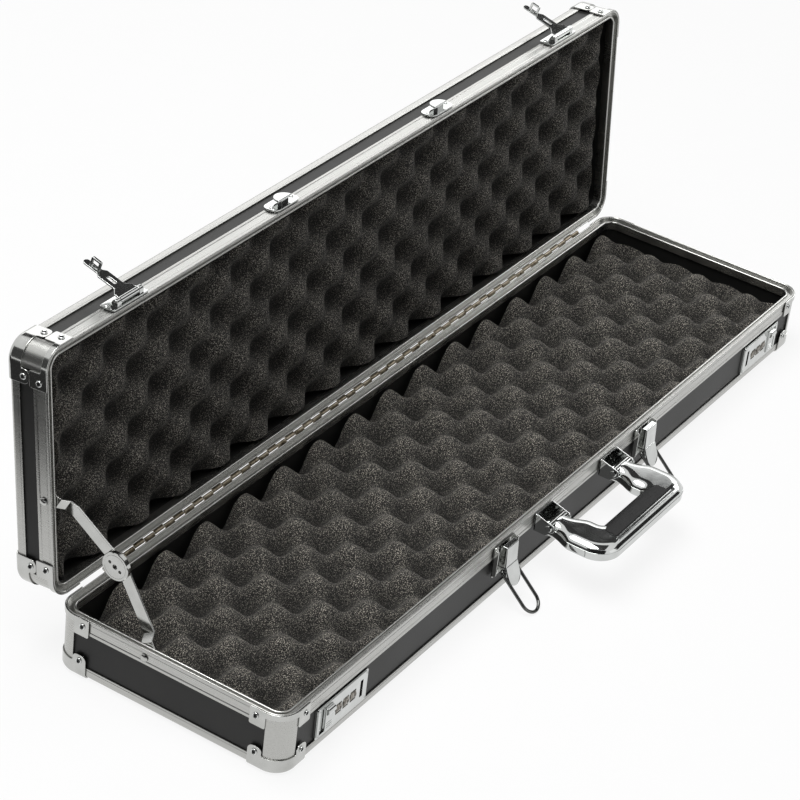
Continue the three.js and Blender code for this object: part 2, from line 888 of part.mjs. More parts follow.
const armHalf = handleBracketWidth / 2 - handleEarThickness - clearance;
const armInner = handleBracketSpacing - armHalf;
const armOuter = handleBracketSpacing + armHalf;
const handleFrontY = handlePivotOutset - handleReach;
const openingFrontY = handleFrontY + handleBarWidth;
const handleLow = handleTopRise - handleThickness;

function mirrorBack(points) {
  return points.map(([x, y]) => [-x, y]).reverse();
}

function handleBlank() {
  const rear = handlePivotOutset - handleArmRear;
  const corner = handleCornerRadius;
  const round = handleOpeningRound;
  const outer = [
    [armInner, rear],
    [armOuter, rear],
    [armOuter, -handleFlareStart],
    [handleHalfLength, -handleFlareEnd],
    ...arc(handleHalfLength - corner, handleFrontY + corner, corner, 0, -90, 6),
  ];
  const inner = [
    ...arc(handleOpeningHalf - round, openingFrontY + round, round, 270, 360, 3),
    [handleOpeningHalf, -handleFlareEnd],
    [armInner, -handleFlareStart],
  ];
  const outline = [...outer, ...mirrorBack(outer), ...mirrorBack(inner), ...inner];
  const shape = new THREE.Shape(outline.map((point) => new THREE.Vector2(...point)));
  const blank = new THREE.ExtrudeGeometry(shape, {
    depth: handleThickness - 2 * handleEdgeBevel,
    bevelThickness: handleEdgeBevel,
    bevelSize: handleEdgeBevel,
    bevelOffset: -handleEdgeBevel,
    bevelSegments: 2,
  });
  blank.translate(0, 0, handleLow + handleEdgeBevel);
  return blank;
}

function handleBody() {
  const stopY = handlePivotOutset - handleEarThickness - 2 * clearance;
  const rear = handlePivotOutset - handleArmRear;
  const heelOutline = box(rear - handleEdgeBevel - bite, handleLow, stopY, handleLow + handleHeelThickness);
  const arms = [-1, 1].flatMap((side) => {
    const boss = alongX(circle(0, 0, handleBossRadius, 12), 2 * armHalf);
    const heel = alongX(heelOutline, 2 * armHalf);
    return [boss, heel].map((part) => part.translate(side * handleBracketSpacing, 0, 0));
  });
  const ribs = [1, 2].map((place) => {
    const rib = new THREE.BoxGeometry(2 * gripHalfLength, handleRibWidth, handleRibHeight + bite);
    const y = openingFrontY - gripWidth - clearance - (place - 0.5) * handleRibPitch;
    return rib.translate(0, y, handleTopRise + (handleRibHeight - bite) / 2);
  });
  const bore = alongX(circle(0, 0, handlePinRadius + clearance, 12), 2 * (armOuter + bite));
  const spare = 2 * clearance;
  const pocket = new THREE.BoxGeometry(2 * gripHalfLength + spare, gripWidth + spare, gripDepth + spare);
  pocket.translate(0, openingFrontY - gripWidth / 2, handleTopRise - gripDepth / 2);
  return cut(join(handleBlank(), ...arms, ...ribs), bore, pocket);
}

function handleGrip() {
  const frontY = openingFrontY - gripWidth;
  const outline = roundedBox(-gripHalfLength, frontY, gripHalfLength, openingFrontY, smallCorner);
  const grip = extrude(outline, gripDepth + gripRise);
  grip.translate(0, 0, handleTopRise - gripDepth);
  return grip;
}

// Draw latch: a plate with side flanges and two lugs on a pin, a folded lever and a wire bail

const latchPivotZ = baseHeight - latchPivotDrop;

function outward(points) {
  return points.map(([outset, z]) => [-outset, z]);
}

function latchPlate() {
  const top = baseHeight - latchPlateDrop;
  const low = top - latchPlateHeight;
  const middle = latchPlateWidth / 2;
  const edge = clearance + latchPlateThickness + latchFlangeHeight;
  const lowRound = latchFlangeLowRound;
  const topRound = latchFlangeTopRound;
  const outline = roundedBox(-middle, low, middle, top, plateCorner);
  const plate = frontPlate(outline, clearance, latchPlateThickness);
  const inset = latchFlangeInset;
  const flange = [
    [clearance, low + inset],
    ...arc(edge - lowRound, low + inset + lowRound, lowRound, 270, 360, 3),
    ...arc(edge - topRound, top - inset - topRound, topRound, 0, 90, 2),
    [clearance, top - inset],
  ];
  const lug = [
    [clearance + bite, latchPivotZ - latchLugFoot],
    ...arc(latchPivotOutset, latchPivotZ, latchLugRadius, ...latchLugArc, 6),
    [clearance + bite, latchPivotZ - latchLugRise],
  ];
  const sides = [-1, 1].flatMap((side) => {
    const cheek = frontBar(flange, latchPlateThickness);
    cheek.translate(side * (middle - latchPlateThickness / 2), 0, 0);
    const arm = frontBar(lug, latchLugWidth);
    arm.translate(side * (latchLugInset + latchLugWidth / 2), 0, 0);
    return [cheek, arm];
  });
  const pin = frontPin(latchPivotOutset, latchPivotZ, latchPinRadius, leverWidth - clearance, 10);
  return join(plate, pin, ...sides);
}

// The lever is drawn about its pivot, hanging down

function latchLever() {
  const tip = leverTipThickness / 2;
  const outline = outward([
    [-leverBack, -leverBoxLength],
    [leverFrontLow - leverCover, -leverBoxLength],
    ...arc(leverTipOut - tip, tip - leverLength, tip, 180, 360, 4),
    [leverFrontLow + leverCover, -leverBoxLength],
    [leverFrontLow, -leverSeam],
    [leverFront, leverTop - leverCover / 2],
    [leverFront - leverCover / 2, leverTop],
    [-leverBack + leverTop, leverTop],
    [-leverBack, -leverTop],
  ]);
  const far = 2 * leverBack;
  const hollow = outward([
    [-far, leverWall - leverBoxLength],
    [leverFrontLow - leverCover, leverWall - leverBoxLength],
    [leverFrontLow - leverCover, -leverSeam],
    [leverFront - leverCover, leverTop],
    [leverFront - leverCover, far],
    [-far, far],
  ]);
  const pinHole = circle(0, 0, latchPinRadius + clearance, 10);
  const bailHole = circle(-bailOutset, -bailDrop, bailWireRadius + clearance, 10);
  return cut(
    alongX(outline, leverWidth),
    alongX(hollow, leverWidth - 2 * leverWall),
    alongX(pinHole, 2 * leverWidth),
    alongX(bailHole, 2 * leverWidth),
  );
}

// The bail is drawn about its pivot, hanging down

function latchBail() {
  const end = leverWidth / 2 - leverWall;
  const straight = bailLength - bailHalfWidth;
  const bend = bailHalfWidth - bailBend;
  const turn = (x, y, radius, from, to, steps) => arc(0, 0, 1, from, to, steps).map(([dx, dy]) => ({
    edge: [x + radius * dx, y + radius * dy],
    across: [dx, dy],
  }));
  const stations = [
    { edge: [end, 0], across: [0, 1] },
    ...turn(bend, -bailBend, bailBend, 90, 0, 3),
    ...turn(0, -straight, bailHalfWidth, 0, -180, 10),
    ...turn(-bend, -bailBend, bailBend, 180, 90, 3),
    { edge: [-end, 0], across: [0, 1] },
  ];
  const wire = sweep(circle(0, 0, bailWireRadius, 8), stations, false);
  wire.rotateX(Math.PI / 2);
  return wire;
}

// Keeper on the lid: a plate, a stem and a round hook plate that the bail passes behind

function keeper() {
  const low = baseHeight + partingGap + keeperRise;
  const middle = keeperWidth / 2;
  const front = clearance + keeperThickness;
  const hookLow = baseHeight + partingGap + hookRise;
  const outline = roundedBox(-middle, low, middle, low + keeperHeight, keeperCorner);
  const plate = frontPlate(outline, clearance, keeperThickness);
  const stemOutline = box(-hookStemHalf, hookLow, hookStemHalf, hookLow + hookStemHeight);
  const stem = frontPlate(stemOutline, front - bite, hookPlateOutset - front + 2 * bite);
  const hookOutline = arc(0, 0, 1, 0, 180, 10).map(([x, z]) => [hookHalfWidth * x, hookLow + hookHeight * z]);
  const hook = frontPlate(hookOutline, hookPlateOutset, hookPlateThickness);
  const screws = [-1, 1].map((side) => {
    const x = side * (middle - keeperScrewInset);
    return frontHead(x, low + keeperHeight / 2, front - bite, screwRadius, rivetHeight + bite);
  });
  return join(plate, stem, hook, ...screws);
}

// Lock: a plate with a case behind it, a slot, dial pockets on a spindle and a button recess.
// Offsets count towards the nearer end of the case, so the two locks mirror each other.

const lockPlateBack = clearance - wallOuter;
const dialOutset = lockPlateOutset + dialRise - dialRadius;
const dialOffsets = Array.from(
  { length: dialCount },
  (_, i) => dialOffset + (i - (dialCount - 1) / 2) * dialPitch,
);
const buttonFloor = lockPlateOutset - buttonRecessDepth;

function lockBox(x0, x1, tall, outset, thickness) {
  const outline = box(x0, lockCenterHeight - tall / 2, x1, lockCenterHeight + tall / 2);
  return frontPlate(outline, outset, thickness);
}

function lockBody(side) {
  const x = lockPlateLength / 2;
  const z = lockPlateHeight / 2;
  const outline = roundedBox(-x, lockCenterHeight - z, x, lockCenterHeight + z, plateCorner);
  const plate = frontPlate(outline, lockPlateBack, lockPlateOutset - lockPlateBack);
  const caseHalf = lockCaseLength / 2;
  const caseThickness = lockCaseDepth + lockPlateBack + bite;
  const backCase = lockBox(-caseHalf, caseHalf, lockCaseHeight, -lockCaseDepth, caseThickness);
  const screws = [-1, 1].flatMap((sx) => [-1, 1].map((sz) => frontHead(
    sx * (x - lockScrewInset),
    lockCenterHeight + sz * (z - lockScrewInset),
    lockPlateOutset - bite,
    lockScrewRadius,
    lockScrewHeight + bite,
  )));
  const through = lockCaseDepth + bite;
  const deep = through + lockPlateOutset + bite;
  const across = (offset, width) => [side * offset - width / 2, side * offset + width / 2];
  const slot = lockBox(...across(slotOffset, slotWidth), slotHeight, -through, deep);
  const pockets = dialOffsets.flatMap((offset) => {
    const [x0, x1] = across(offset, dialPocketWidth);
    const tall = 2 * (dialRadius + clearance);
    const pocketThickness = through + lockPlateOutset - dialWindowSheet;
    const windowCut = lockBox(x0, x1, dialWindowHeight, -through, deep);
    const pocket = lockBox(x0, x1, tall, -through, pocketThickness);
    return [windowCut, pocket];
  });
  const recessWidth = buttonWidth + buttonTravel + buttonTravelSpare + clearance;
  const recessOffset = buttonOffset + (buttonTravel + buttonTravelSpare - clearance) / 2;
  const recessTall = buttonHeight + 2 * clearance;
  const recessDeep = buttonRecessDepth + bite;
  const recess = lockBox(...across(recessOffset, recessWidth), recessTall, buttonFloor, recessDeep);
  const spindleLength = dialCount * dialPitch;
  const spindle = frontPin(dialOutset, lockCenterHeight, dialSpindleRadius, spindleLength, 8);
  spindle.translate(side * dialOffset, 0, 0);
  return join(cut(join(plate, backCase), slot, recess, ...pockets), spindle, ...screws);
}

function lockDial() {
  const hole = circle(0, 0, dialSpindleRadius + clearance, 8);
  return alongX(circle(0, 0, dialRadius, dialSides), dialWidth, [hole]);
}

function lockButton() {
  const low = lockCenterHeight - buttonHeight / 2;
  const back = buttonFloor + clearance;
  const outline = roundedBox(-buttonWidth / 2, low, buttonWidth / 2, low + buttonHeight, smallCorner);
  const plate = frontPlate(outline, back, buttonOutset - back);
  const half = buttonBumpHeight / 2;
  const bumpZ = low + buttonHeight - half;
  const bulge = buttonBumpOutset - buttonOutset;
  const dome = arc(0, 0, 1, -90, 90, 6);
  const bump = dome.map(([outset, z]) => [buttonOutset + bulge * outset, bumpZ + half * z]);
  const root = [[buttonOutset - bite, bumpZ + half], [buttonOutset - bite, bumpZ - half]];
  return join(plate, frontBar([...bump, ...root], buttonWidth));
}

// Hasp on the lid: a plate with two lugs on a pin, and an arm whose staple enters the lock's slot

const haspPinZ = baseHeight + partingGap + haspPinRise;

function haspBracket() {
  const low = baseHeight + partingGap + haspPlateRise;
  const middle = haspPlateLength / 2;
  const front = clearance + haspPlateThickness;
  const outline = roundedBox(-middle, low, middle, low + haspPlateHeight, plateCorner);
  const plate = frontPlate(outline, clearance, haspPlateThickness);
  const lug = [
    [clearance + bite, haspPinZ - haspLugRadius],
    ...arc(haspPinOutset, haspPinZ, haspLugRadius, ...haspLugArc, 6),
    [clearance + bite, haspPinZ + 2 * haspLugRadius],
  ];
  const pinLength = 2 * (haspLugInner + haspLugWidth);
  const pin = frontPin(haspPinOutset, haspPinZ, haspPinRadius, pinLength, 10);
  const sides = [-1, 1].flatMap((side) => {
    const cheek = frontBar(lug, haspLugWidth);
    cheek.translate(side * (haspLugInner + haspLugWidth / 2), 0, 0);
    const screwZ = low + haspPlateHeight - 2 * haspScrewInset;
    const screwX = side * (middle - haspScrewInset);
    const screw = frontHead(screwX, screwZ, front - bite, screwRadius, rivetHeight + bite);
    return [cheek, screw];
  });
  return join(plate, pin, ...sides);
}

// The arm is drawn about its pin as it lies when closed, pointing down, with the staple towards the case

function haspArm() {
  const root = haspLugInner - clearance;
  const neck = haspArmWidth / 2;
  const tip = haspTipWidth / 2;
  const stapleEnd = haspStapleStart + haspStapleLength;
  const side = [
    [root, 0],
    [root, haspShoulder],
    [neck, haspNeck],
    [neck, haspStapleStart - tip],
    [tip, haspStapleStart],
    [tip, stapleEnd],
    ...arc(0, haspArmLength - tip, tip, 0, 90, 4),
  ];
  const slotHalf = haspSlotWidth / 2;
  const hole = box(-slotHalf, haspSlotStart, slotHalf, haspSlotEnd);
  const plate = extrude([...side, ...mirrorBack(side).slice(1)], haspArmThickness, [hole]);
  plate.rotateX(-Math.PI / 2);
  plate.translate(0, haspArmNormal, 0);
  const barrel = alongX(circle(0, 0, haspLugRadius, 12), 2 * root);
  const bore = alongX(circle(0, 0, haspPinRadius + clearance, 12), 4 * root);
  const face = haspArmNormal + haspArmThickness;
  const wire = haspStapleWire;
  const loop = alongX(
    box(face - bite, -stapleEnd, face + haspStapleHeight, -haspStapleStart),
    haspStapleWidth,
    [box(face, wire - stapleEnd, face + haspStapleHeight - wire, -haspStapleStart - wire)],
  );
  return join(cut(join(plate, barrel), bore), loop);
}

// The base half with all that is fixed to it

const baseHalf = half(
  'base',
  baseHeight,
  false,
  [stayBore(...stayBasePivot)],
  [
    stayBore(...stayBasePivot),
    ...[-1, 1].map((side) => {
      const x = lockCaseLength / 2 + clearance;
      const tall = lockCaseHeight + 2 * clearance;
      const hole = lockBox(-x, x, tall, -2 * wallInner, 4 * wallInner);
      return hole.translate(side * lockSpacing, 0, 0);
    }),
  ],
);

function foamPiece(name, thickness, wave, phaseY) {
  return piece(name, foam(thickness, wave, phaseY), greyFoam);
}

const base = new THREE.Group();
base.add(baseHalf, foamPiece('base_foam', baseFoamThickness, baseFoamWave, foamPhaseY));

const baseLeaf = piece('hinge_leaf_base', hingeLeaf(false), hingeSteel);
const pin = piece('hinge_pin', hingePin(), hingeSteel);
for (const mesh of [baseLeaf, pin]) {
  mesh.position.set(hingeShift, hingeY, hingeZ);
  base.add(mesh);
}

const baseRivet = piece('stay_rivet_base', stayRivet(), fittingMetal);
baseRivet.position.set(-halfLength, ...stayBasePivot);
base.add(baseRivet);

for (const [end, side] of [['left', -1], ['right', 1]]) {
  const plate = piece(`latch_plate_${end}`, latchPlate(), fittingMetal);
  plate.position.x = side * latchSpacing;
  const lever = piece(`latch_lever_${end}`, latchLever(), chrome);
  lever.position.set(side * latchSpacing, -halfWidth - latchPivotOutset, latchPivotZ);
  const bail = piece(`latch_bail_${end}`, latchBail(), chrome);
  bail.position.set(0, -bailOutset, -bailDrop).add(lever.position);
  bail.rotation.x = -bailLean;
  const handleMount = piece(`handle_bracket_${end}`, handleBracket(), chrome);
  handleMount.position.x = side * handleBracketSpacing;
  const lock = piece(`lock_body_${end}`, lockBody(side), chrome);
  lock.position.x = side * lockSpacing;
  const button = piece(`lock_button_${end}`, lockButton(), chrome);
  button.position.x = side * (lockSpacing + buttonOffset);
  base.add(plate, lever, bail, handleMount, lock, button);
  dialOffsets.forEach((offset, i) => {
    const dial = piece(`lock_dial_${end}_${i + 1}`, lockDial(), dialBrass);
    dial.position.set(side * (lockSpacing + offset), -halfWidth - dialOutset, lockCenterHeight);
    base.add(dial);
  });
}

const handle = new THREE.Group();
handle.position.set(0, -halfWidth - handlePivotOutset, baseHeight - handlePivotDrop);
handle.add(piece('handle_body', handleBody(), chrome), piece('handle_grip', handleGrip(), blackGrip));

// The lid is drawn as it lies closed and turned open about the hinge

const lidTurn = new THREE.Group();
lidTurn.position.set(0, hingeY, hingeZ);
lidTurn.rotation.x = -lidOpenAngle;
const lid = new THREE.Group();
lid.position.set(0, -hingeY, -hingeZ);
lidTurn.add(lid);

const lidBore = stayBore(-stayLidPivotClosed[0], closedHeight - stayLidPivotClosed[1]);
const lidHalf = half('lid', lidHeight, true, [lidBore], [lidBore]);
lidHalf.add(foamPiece('lid_foam', lidFoamThickness, lidFoamWave, -foamPhaseY));
lidHalf.rotation.x = Math.PI;
lidHalf.position.z = closedHeight;
lid.add(lidHalf);

const lidLeaf = piece('hinge_leaf_lid', hingeLeaf(true), hingeSteel);
lidLeaf.position.set(hingeShift, hingeY, hingeZ);
const lidRivet = piece('stay_rivet_lid', stayRivet(), fittingMetal);
lidRivet.position.set(-halfLength, ...stayLidPivotClosed);
lid.add(lidLeaf, lidRivet);

for (const [end, side] of [['left', -1], ['right', 1]]) {
  const catchPlate = piece(`latch_keeper_${end}`, keeper(), chrome);
  catchPlate.position.x = side * latchSpacing;
  const bracket = piece(`hasp_bracket_${end}`, haspBracket(), chrome);
  bracket.position.x = side * (lockSpacing + slotOffset);
  const arm = piece(`hasp_arm_${end}`, haspArm(), chrome);
  arm.position.set(bracket.position.x, -halfWidth - haspPinOutset, haspPinZ);
  arm.rotation.x = -haspOpenAngle;
  lid.add(catchPlate, bracket, arm);
}

// The stay joins the halves, with its disc where the two arms meet

const stay = new THREE.Group();
stay.add(inEndPlane('stay_arm_lower', stayArm(stayLowerLayer, false), stayBasePivot, stayKnee));
stay.add(inEndPlane('stay_arm_upper', stayArm(stayUpperLayer, true), stayLidPivot, stayKnee));
stay.add(inEndPlane('stay_disc', stayDisc(), stayKnee, stayLidPivot));

const caseModel = new THREE.Group();
caseModel.add(base, handle, lidTurn, stay);

export default caseModel;
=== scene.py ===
# %% [markdown]
# # A long hard case, lying open
# The real case is made of black boards held in aluminium edges. Steel fittings close its corners,
# and cut foam with staggered peaks fills both halves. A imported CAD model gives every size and
# every joint. This lesson dresses it: most pieces are modelled again with finer edges, and all of
# them get a finish that is worked out by shader nodes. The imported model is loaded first, because
# each piece rides on one of its bodies.

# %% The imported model
import bpy
import bmesh
from math import atan2, cos, pi, radians, sin
from mathutils import Matrix, Vector, noise


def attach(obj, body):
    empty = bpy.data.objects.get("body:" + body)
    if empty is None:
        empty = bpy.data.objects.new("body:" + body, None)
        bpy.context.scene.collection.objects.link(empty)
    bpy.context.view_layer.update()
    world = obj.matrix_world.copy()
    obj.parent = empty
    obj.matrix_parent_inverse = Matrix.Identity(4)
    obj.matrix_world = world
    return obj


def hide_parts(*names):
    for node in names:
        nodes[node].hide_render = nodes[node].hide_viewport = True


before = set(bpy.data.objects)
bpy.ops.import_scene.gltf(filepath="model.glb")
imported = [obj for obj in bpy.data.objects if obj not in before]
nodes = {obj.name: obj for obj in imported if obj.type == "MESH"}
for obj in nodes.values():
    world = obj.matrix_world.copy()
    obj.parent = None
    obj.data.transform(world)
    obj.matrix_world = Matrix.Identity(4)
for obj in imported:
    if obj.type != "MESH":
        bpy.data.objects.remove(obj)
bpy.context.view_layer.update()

# %% [markdown]
# ## Sizes
# The sizes are those of the CAD part, in millimetres, because hardware is easier to read that
# way. Each piece is scaled to metres once, when it is finished. The lid is drawn as it lies
# closed and then turned about the hinge, so both halves share their shapes.

# %% Sizes
MM = 0.001
HALF_LENGTH = 400
HALF_WIDTH = 100.5
BASE_HEIGHT = 52
LID_HEIGHT = 34.5
GAP = 0.3
CLOSED_HEIGHT = BASE_HEIGHT + GAP + LID_HEIGHT
CORNER = 16
HINGE_Y = 102.8
HINGE_Z = 52.15
LID_OPEN = radians(94.9)
SEAT = 0.3
SIDES = (("left", -1), ("right", 1))

AS_DRAWN = Matrix()
OPENED = (
    Matrix.Translation((0, HINGE_Y, HINGE_Z))
    @ Matrix.Rotation(-LID_OPEN, 4, "X")
    @ Matrix.Translation((0, -HINGE_Y, -HINGE_Z))
)
LID_HALF = OPENED @ Matrix.Translation((0, 0, CLOSED_HEIGHT)) @ Matrix.Rotation(pi, 4, "X")
print("closed height", CLOSED_HEIGHT)

# %% [markdown]
# ## Shader values that can be added up
# A finish is a small sum: a base colour, plus some grain, less some wear. Nodes hide that sum in
# wires. A thin class round a socket lets the script write it as a Python expression, and each
# operator adds its own Math node; the | operator takes the larger of two masks. Every other node
# comes from one method, so a finish reads from top to bottom.

# %% Shader values
class Tone:
    def __init__(self, wiring, socket):
        self.wiring = wiring
        self.socket = socket

    def math(self, operation, first, second):
        return self.wiring.node("ShaderNodeMath", {"operation": operation}, {0: first, 1: second})

    def __add__(self, other):
        return self.math("ADD", self, other)

    def __rsub__(self, other):
        return self.math("SUBTRACT", other, self)

    def __mul__(self, other):
        return self.math("MULTIPLY", self, other)

    def __or__(self, other):
        return self.math("MAXIMUM", self, other)

    def __gt__(self, other):
        return self.math("GREATER_THAN", self, other)

    def __abs__(self):
        return self.math("ABSOLUTE", self, 0)

    __radd__ = __add__
    __rmul__ = __mul__


class Wiring:
    def __init__(self, tree):
        self.tree = tree

    def node(self, kind, settings=None, values=None, output=0):
        node = self.tree.nodes.new(kind)
        for key, value in (settings or {}).items():
            setattr(node, key, value)
        for key, value in (values or {}).items():
            self.connect(value, node.inputs[key])
        return Tone(self, node.outputs[output])

    def connect(self, value, socket):
        if isinstance(value, Tone):
            self.tree.links.new(value.socket, socket)
        else:
            socket.default_value = value

    def looked_at(self):
        camera, mirror, glass = [
            self.node("ShaderNodeLightPath", output=f"Is {ray} Ray")
            for ray in ("Camera", "Glossy", "Transmission")
        ]
        return camera | mirror | glass


print("shader values ready")

# %% [markdown]
# A finish is one material. It starts from the Principled shader, and the methods below name what
# the finishes need again and again: noise on the piece's own coordinates, a ramp, two colours and
# a bump.

# %% A finish
class Finish(Wiring):
    def __init__(self, name, metallic=0):
        self.material = bpy.data.materials.new(name)
        self.material.use_nodes = True
        super().__init__(self.material.node_tree)
        self.shader = self.tree.nodes["Principled BSDF"]
        self.feed("Metallic", metallic)

    def feed(self, name, value):
        self.connect(value, self.shader.inputs[name])

    def surface(self, shader):
        self.connect(shader, self.tree.nodes["Material Output"].inputs["Surface"])

    def coordinates(self):
        return self.node("ShaderNodeTexCoord", output="Object")

    def noise(self, scale, detail=3, stretch=(1, 1, 1)):
        values = {"Vector": self.coordinates(), "Scale": stretch}
        where = self.node("ShaderNodeMapping", values=values)
        values = {"Vector": where, "Scale": scale, "Detail": detail}
        return self.node("ShaderNodeTexNoise", values=values)

    def ramp(self, value, low, high):
        values = {"Value": value, "From Min": low, "From Max": high}
        return self.node("ShaderNodeMapRange", values=values)

    def tint(self, factor, dark, light):
        values = {0: factor, 6: (*dark, 1), 7: (*light, 1)}
        self.feed("Base Color", self.node("ShaderNodeMix", {"data_type": "RGBA"}, values, output=2))

    def bump(self, height, distance, strength):
        values = {"Height": height, "Distance": distance, "Strength": strength}
        self.feed("Normal", self.node("ShaderNodeBump", values=values))


print("finish class ready")

# %% [markdown]
# ## The finishes
# Film on the boards is black and finely pebbled. The aluminium is satin and drawn, so its grain
# runs along each bar: along X on the long sides and along Y at the ends, which a mask on the
# place decides.

# %% Black film on the boards
film = Finish("black_film")
film.feed("Specular IOR Level", 0.3)
smudge = film.noise(14, 4)
film.tint(film.ramp(smudge, 0.35, 0.7), (0.011, 0.011, 0.0105), (0.021, 0.021, 0.0195))
film.feed("Roughness", 0.36 + 0.16 * smudge)
film.bump(film.noise(900, 2), 0.0002, 0.35)
print(film.material.name)

# %% Satin aluminium
LONG_SIDE = 0.384
ALONG_GRAIN = 9
ACROSS_GRAIN = 1100
aluminium = Finish("satin_aluminium", metallic=1)
along_x = aluminium.noise(1, 2, (ALONG_GRAIN, ACROSS_GRAIN, ACROSS_GRAIN))
along_y = aluminium.noise(1, 2, (ACROSS_GRAIN, ALONG_GRAIN, ACROSS_GRAIN))
x_place = aluminium.node("ShaderNodeSeparateXYZ", values={"Vector": aluminium.coordinates()})
at_ends = abs(x_place) > LONG_SIDE
grain = along_x * (1 - at_ends) + along_y * at_ends
patches = aluminium.noise(22, 4)
aluminium.tint(aluminium.ramp(grain, 0.3, 0.7), (0.43, 0.43, 0.413), (0.48, 0.48, 0.462))
aluminium.feed("Roughness", 0.22 + 0.04 * grain + 0.07 * patches)
aluminium.bump(grain, 0.00001, 0.03)
print(aluminium.material.name)

# %% [markdown]
# The fittings are plated steel, wiped a little dull. The hardware is bright plating with faint
# smudges. The bent wire of the latches is plated too, but its colour is painted dark: painted
# shade that stands in for a dark studio seen in the wire. The hinge has a brassy tint and the
# dials are worn to a warm grey.

# %% Plated steel, bright plating and the small metals
steel = Finish("plated_steel", metallic=1)
wiped = steel.noise(60, 5)
steel.feed("Roughness", 0.08 + 0.1 * wiped)
steel.tint(steel.ramp(wiped, 0.35, 0.7), (0.45, 0.453, 0.437), (0.53, 0.533, 0.518))
steel.bump(steel.noise(700, 2), 0.00003, 0.2)

plating = Finish("bright_plating", metallic=1)
breath = plating.noise(90, 4)
plating.feed("Roughness", 0.03 + 0.09 * breath)
plating.tint(plating.ramp(breath, 0.3, 0.75), (0.53, 0.54, 0.53), (0.62, 0.633, 0.623))

# The wire's dark colour is painted shade: it stands in for a dark studio reflected in the wire.
wire_metal_painted_dark = Finish("wire_metal_painted_dark", metallic=1)
drawn = wire_metal_painted_dark.noise(400)
wire_metal_painted_dark.feed("Roughness", 0.04 + 0.1 * drawn)
wire_metal_painted_dark.tint(drawn, (0.05, 0.051, 0.049), (0.16, 0.163, 0.158))

hinge_metal = Finish("hinge_metal", metallic=1)
tarnish = hinge_metal.noise(160, 5)
hinge_metal.feed("Roughness", 0.2 + 0.2 * tarnish)
hinge_metal.tint(hinge_metal.ramp(tarnish, 0.35, 0.65), (0.15, 0.125, 0.085), (0.34, 0.3, 0.235))

dial_metal = Finish("dial_metal", metallic=1)
worn = dial_metal.noise(300, 4)
dial_metal.feed("Roughness", 0.16 + 0.2 * worn)
dial_metal.tint(dial_metal.ramp(worn, 0.35, 0.65), (0.13, 0.12, 0.105), (0.36, 0.34, 0.305))
for metal in (steel, plating, wire_metal_painted_dark, hinge_metal, dial_metal):
    print(metal.material.name)

# %% [markdown]
# Foam is a field of tiny cells. Some catch the light and most are dark holes, so a fine noise is
# pushed to bright specks on a dark ground. The specks are dimmed in the valleys: painted shade,
# since the valleys lie in shadow. The foam mesh stores how raised each point is, and the finish
# reads it by name.

# %% Foam, grip and ink
foam_finish = Finish("grey_foam")
foam_finish.feed("Roughness", 0.95)
raised = foam_finish.node("ShaderNodeAttribute", {"attribute_name": "raised"}, output="Fac")
cells = foam_finish.noise(1500, 1)
specks = foam_finish.ramp(cells, 0.56, 0.68)
clouds = foam_finish.noise(45)
# Painted shade: the specks are dimmed towards the valleys by how raised each point is.
lit = specks * (0.1 + 0.9 * raised) * (0.55 + 0.9 * clouds)
foam_finish.tint(lit, (0.008, 0.0075, 0.0066), (0.5, 0.465, 0.4))
foam_finish.bump(cells, 0.0008, 0.7)

grip_finish = Finish("black_grip")
grip_finish.feed("Base Color", (0.008, 0.008, 0.008, 1))
grip_finish.feed("Specular IOR Level", 0.25)
leathered = grip_finish.noise(1100, 2)
grip_finish.feed("Roughness", 0.5 + 0.16 * leathered)
grip_finish.bump(leathered, 0.0002, 0.4)

# This black is the print of the dial numbers and also the painted shade in the rivet holes.
ink_and_hole_shade = Finish("black_ink_and_hole_shade")
ink_and_hole_shade.feed("Base Color", (0.01, 0.01, 0.01, 1))
ink_and_hole_shade.feed("Roughness", 0.5 + 0.2 * ink_and_hole_shade.noise(400))
print(foam_finish.material.name, grip_finish.material.name, ink_and_hole_shade.material.name)

# %% [markdown]
# ## Drawing helpers
# Three shapes make nearly all of the hardware: an outline pushed out to a plate, a profile
# carried along a path, and a profile turned on a lathe. Each helper starts from a few vertices
# and lets bmesh operators do the rest, so that rounding an edge stays one call. A pin, a knuckle
# and a barrel are spools: one end is drawn, and the other end mirrors it.

# %% Outlines
def arc(x, y, radius, start, end, steps):
    turns = [radians(start + (end - start) * i / steps) for i in range(steps + 1)]
    return [(x + radius * cos(turn), y + radius * sin(turn)) for turn in turns]


def circle(x, y, radius, steps):
    return arc(x, y, radius, 0, 360, steps)[:-1]


def rounded(x0, y0, x1, y1, radius, steps=6):
    return [
        *arc(x1 - radius, y1 - radius, radius, 0, 90, steps),
        *arc(x0 + radius, y1 - radius, radius, 90, 180, steps),
        *arc(x0 + radius, y0 + radius, radius, 180, 270, steps),
        *arc(x1 - radius, y0 + radius, radius, 270, 360, steps),
    ]


def box(x0, y0, x1, y1):
    return [(x0, y0), (x1, y0), (x1, y1), (x0, y1)]


def mirrored(points):
    return [(-x, y) for x, y in reversed(points)]


print("outlines ready")

# %% Loops, plates and bevels
SHARP_EDGE = radians(35)


def of_kind(things, kind):
    return [thing for thing in things if isinstance(thing, kind)]


def loop(bm, points):
    corners = [bm.verts.new(point) for point in points]
    return [bm.edges.new(pair) for pair in zip(corners, corners[1:] + corners[:1])]


def bevel_edges(bm, edges, width, segments):
    bmesh.ops.bevel(
        bm, geom=edges, offset=width, offset_type="OFFSET", affect="EDGES",
        segments=segments, profile=0.5, material=-1, clamp_overlap=True,
    )


def thicken(bm, thickness):
    grown = bmesh.ops.extrude_face_region(bm, geom=bm.faces[:])["geom"]
    bmesh.ops.translate(bm, verts=of_kind(grown, bmesh.types.BMVert), vec=(0, 0, thickness))


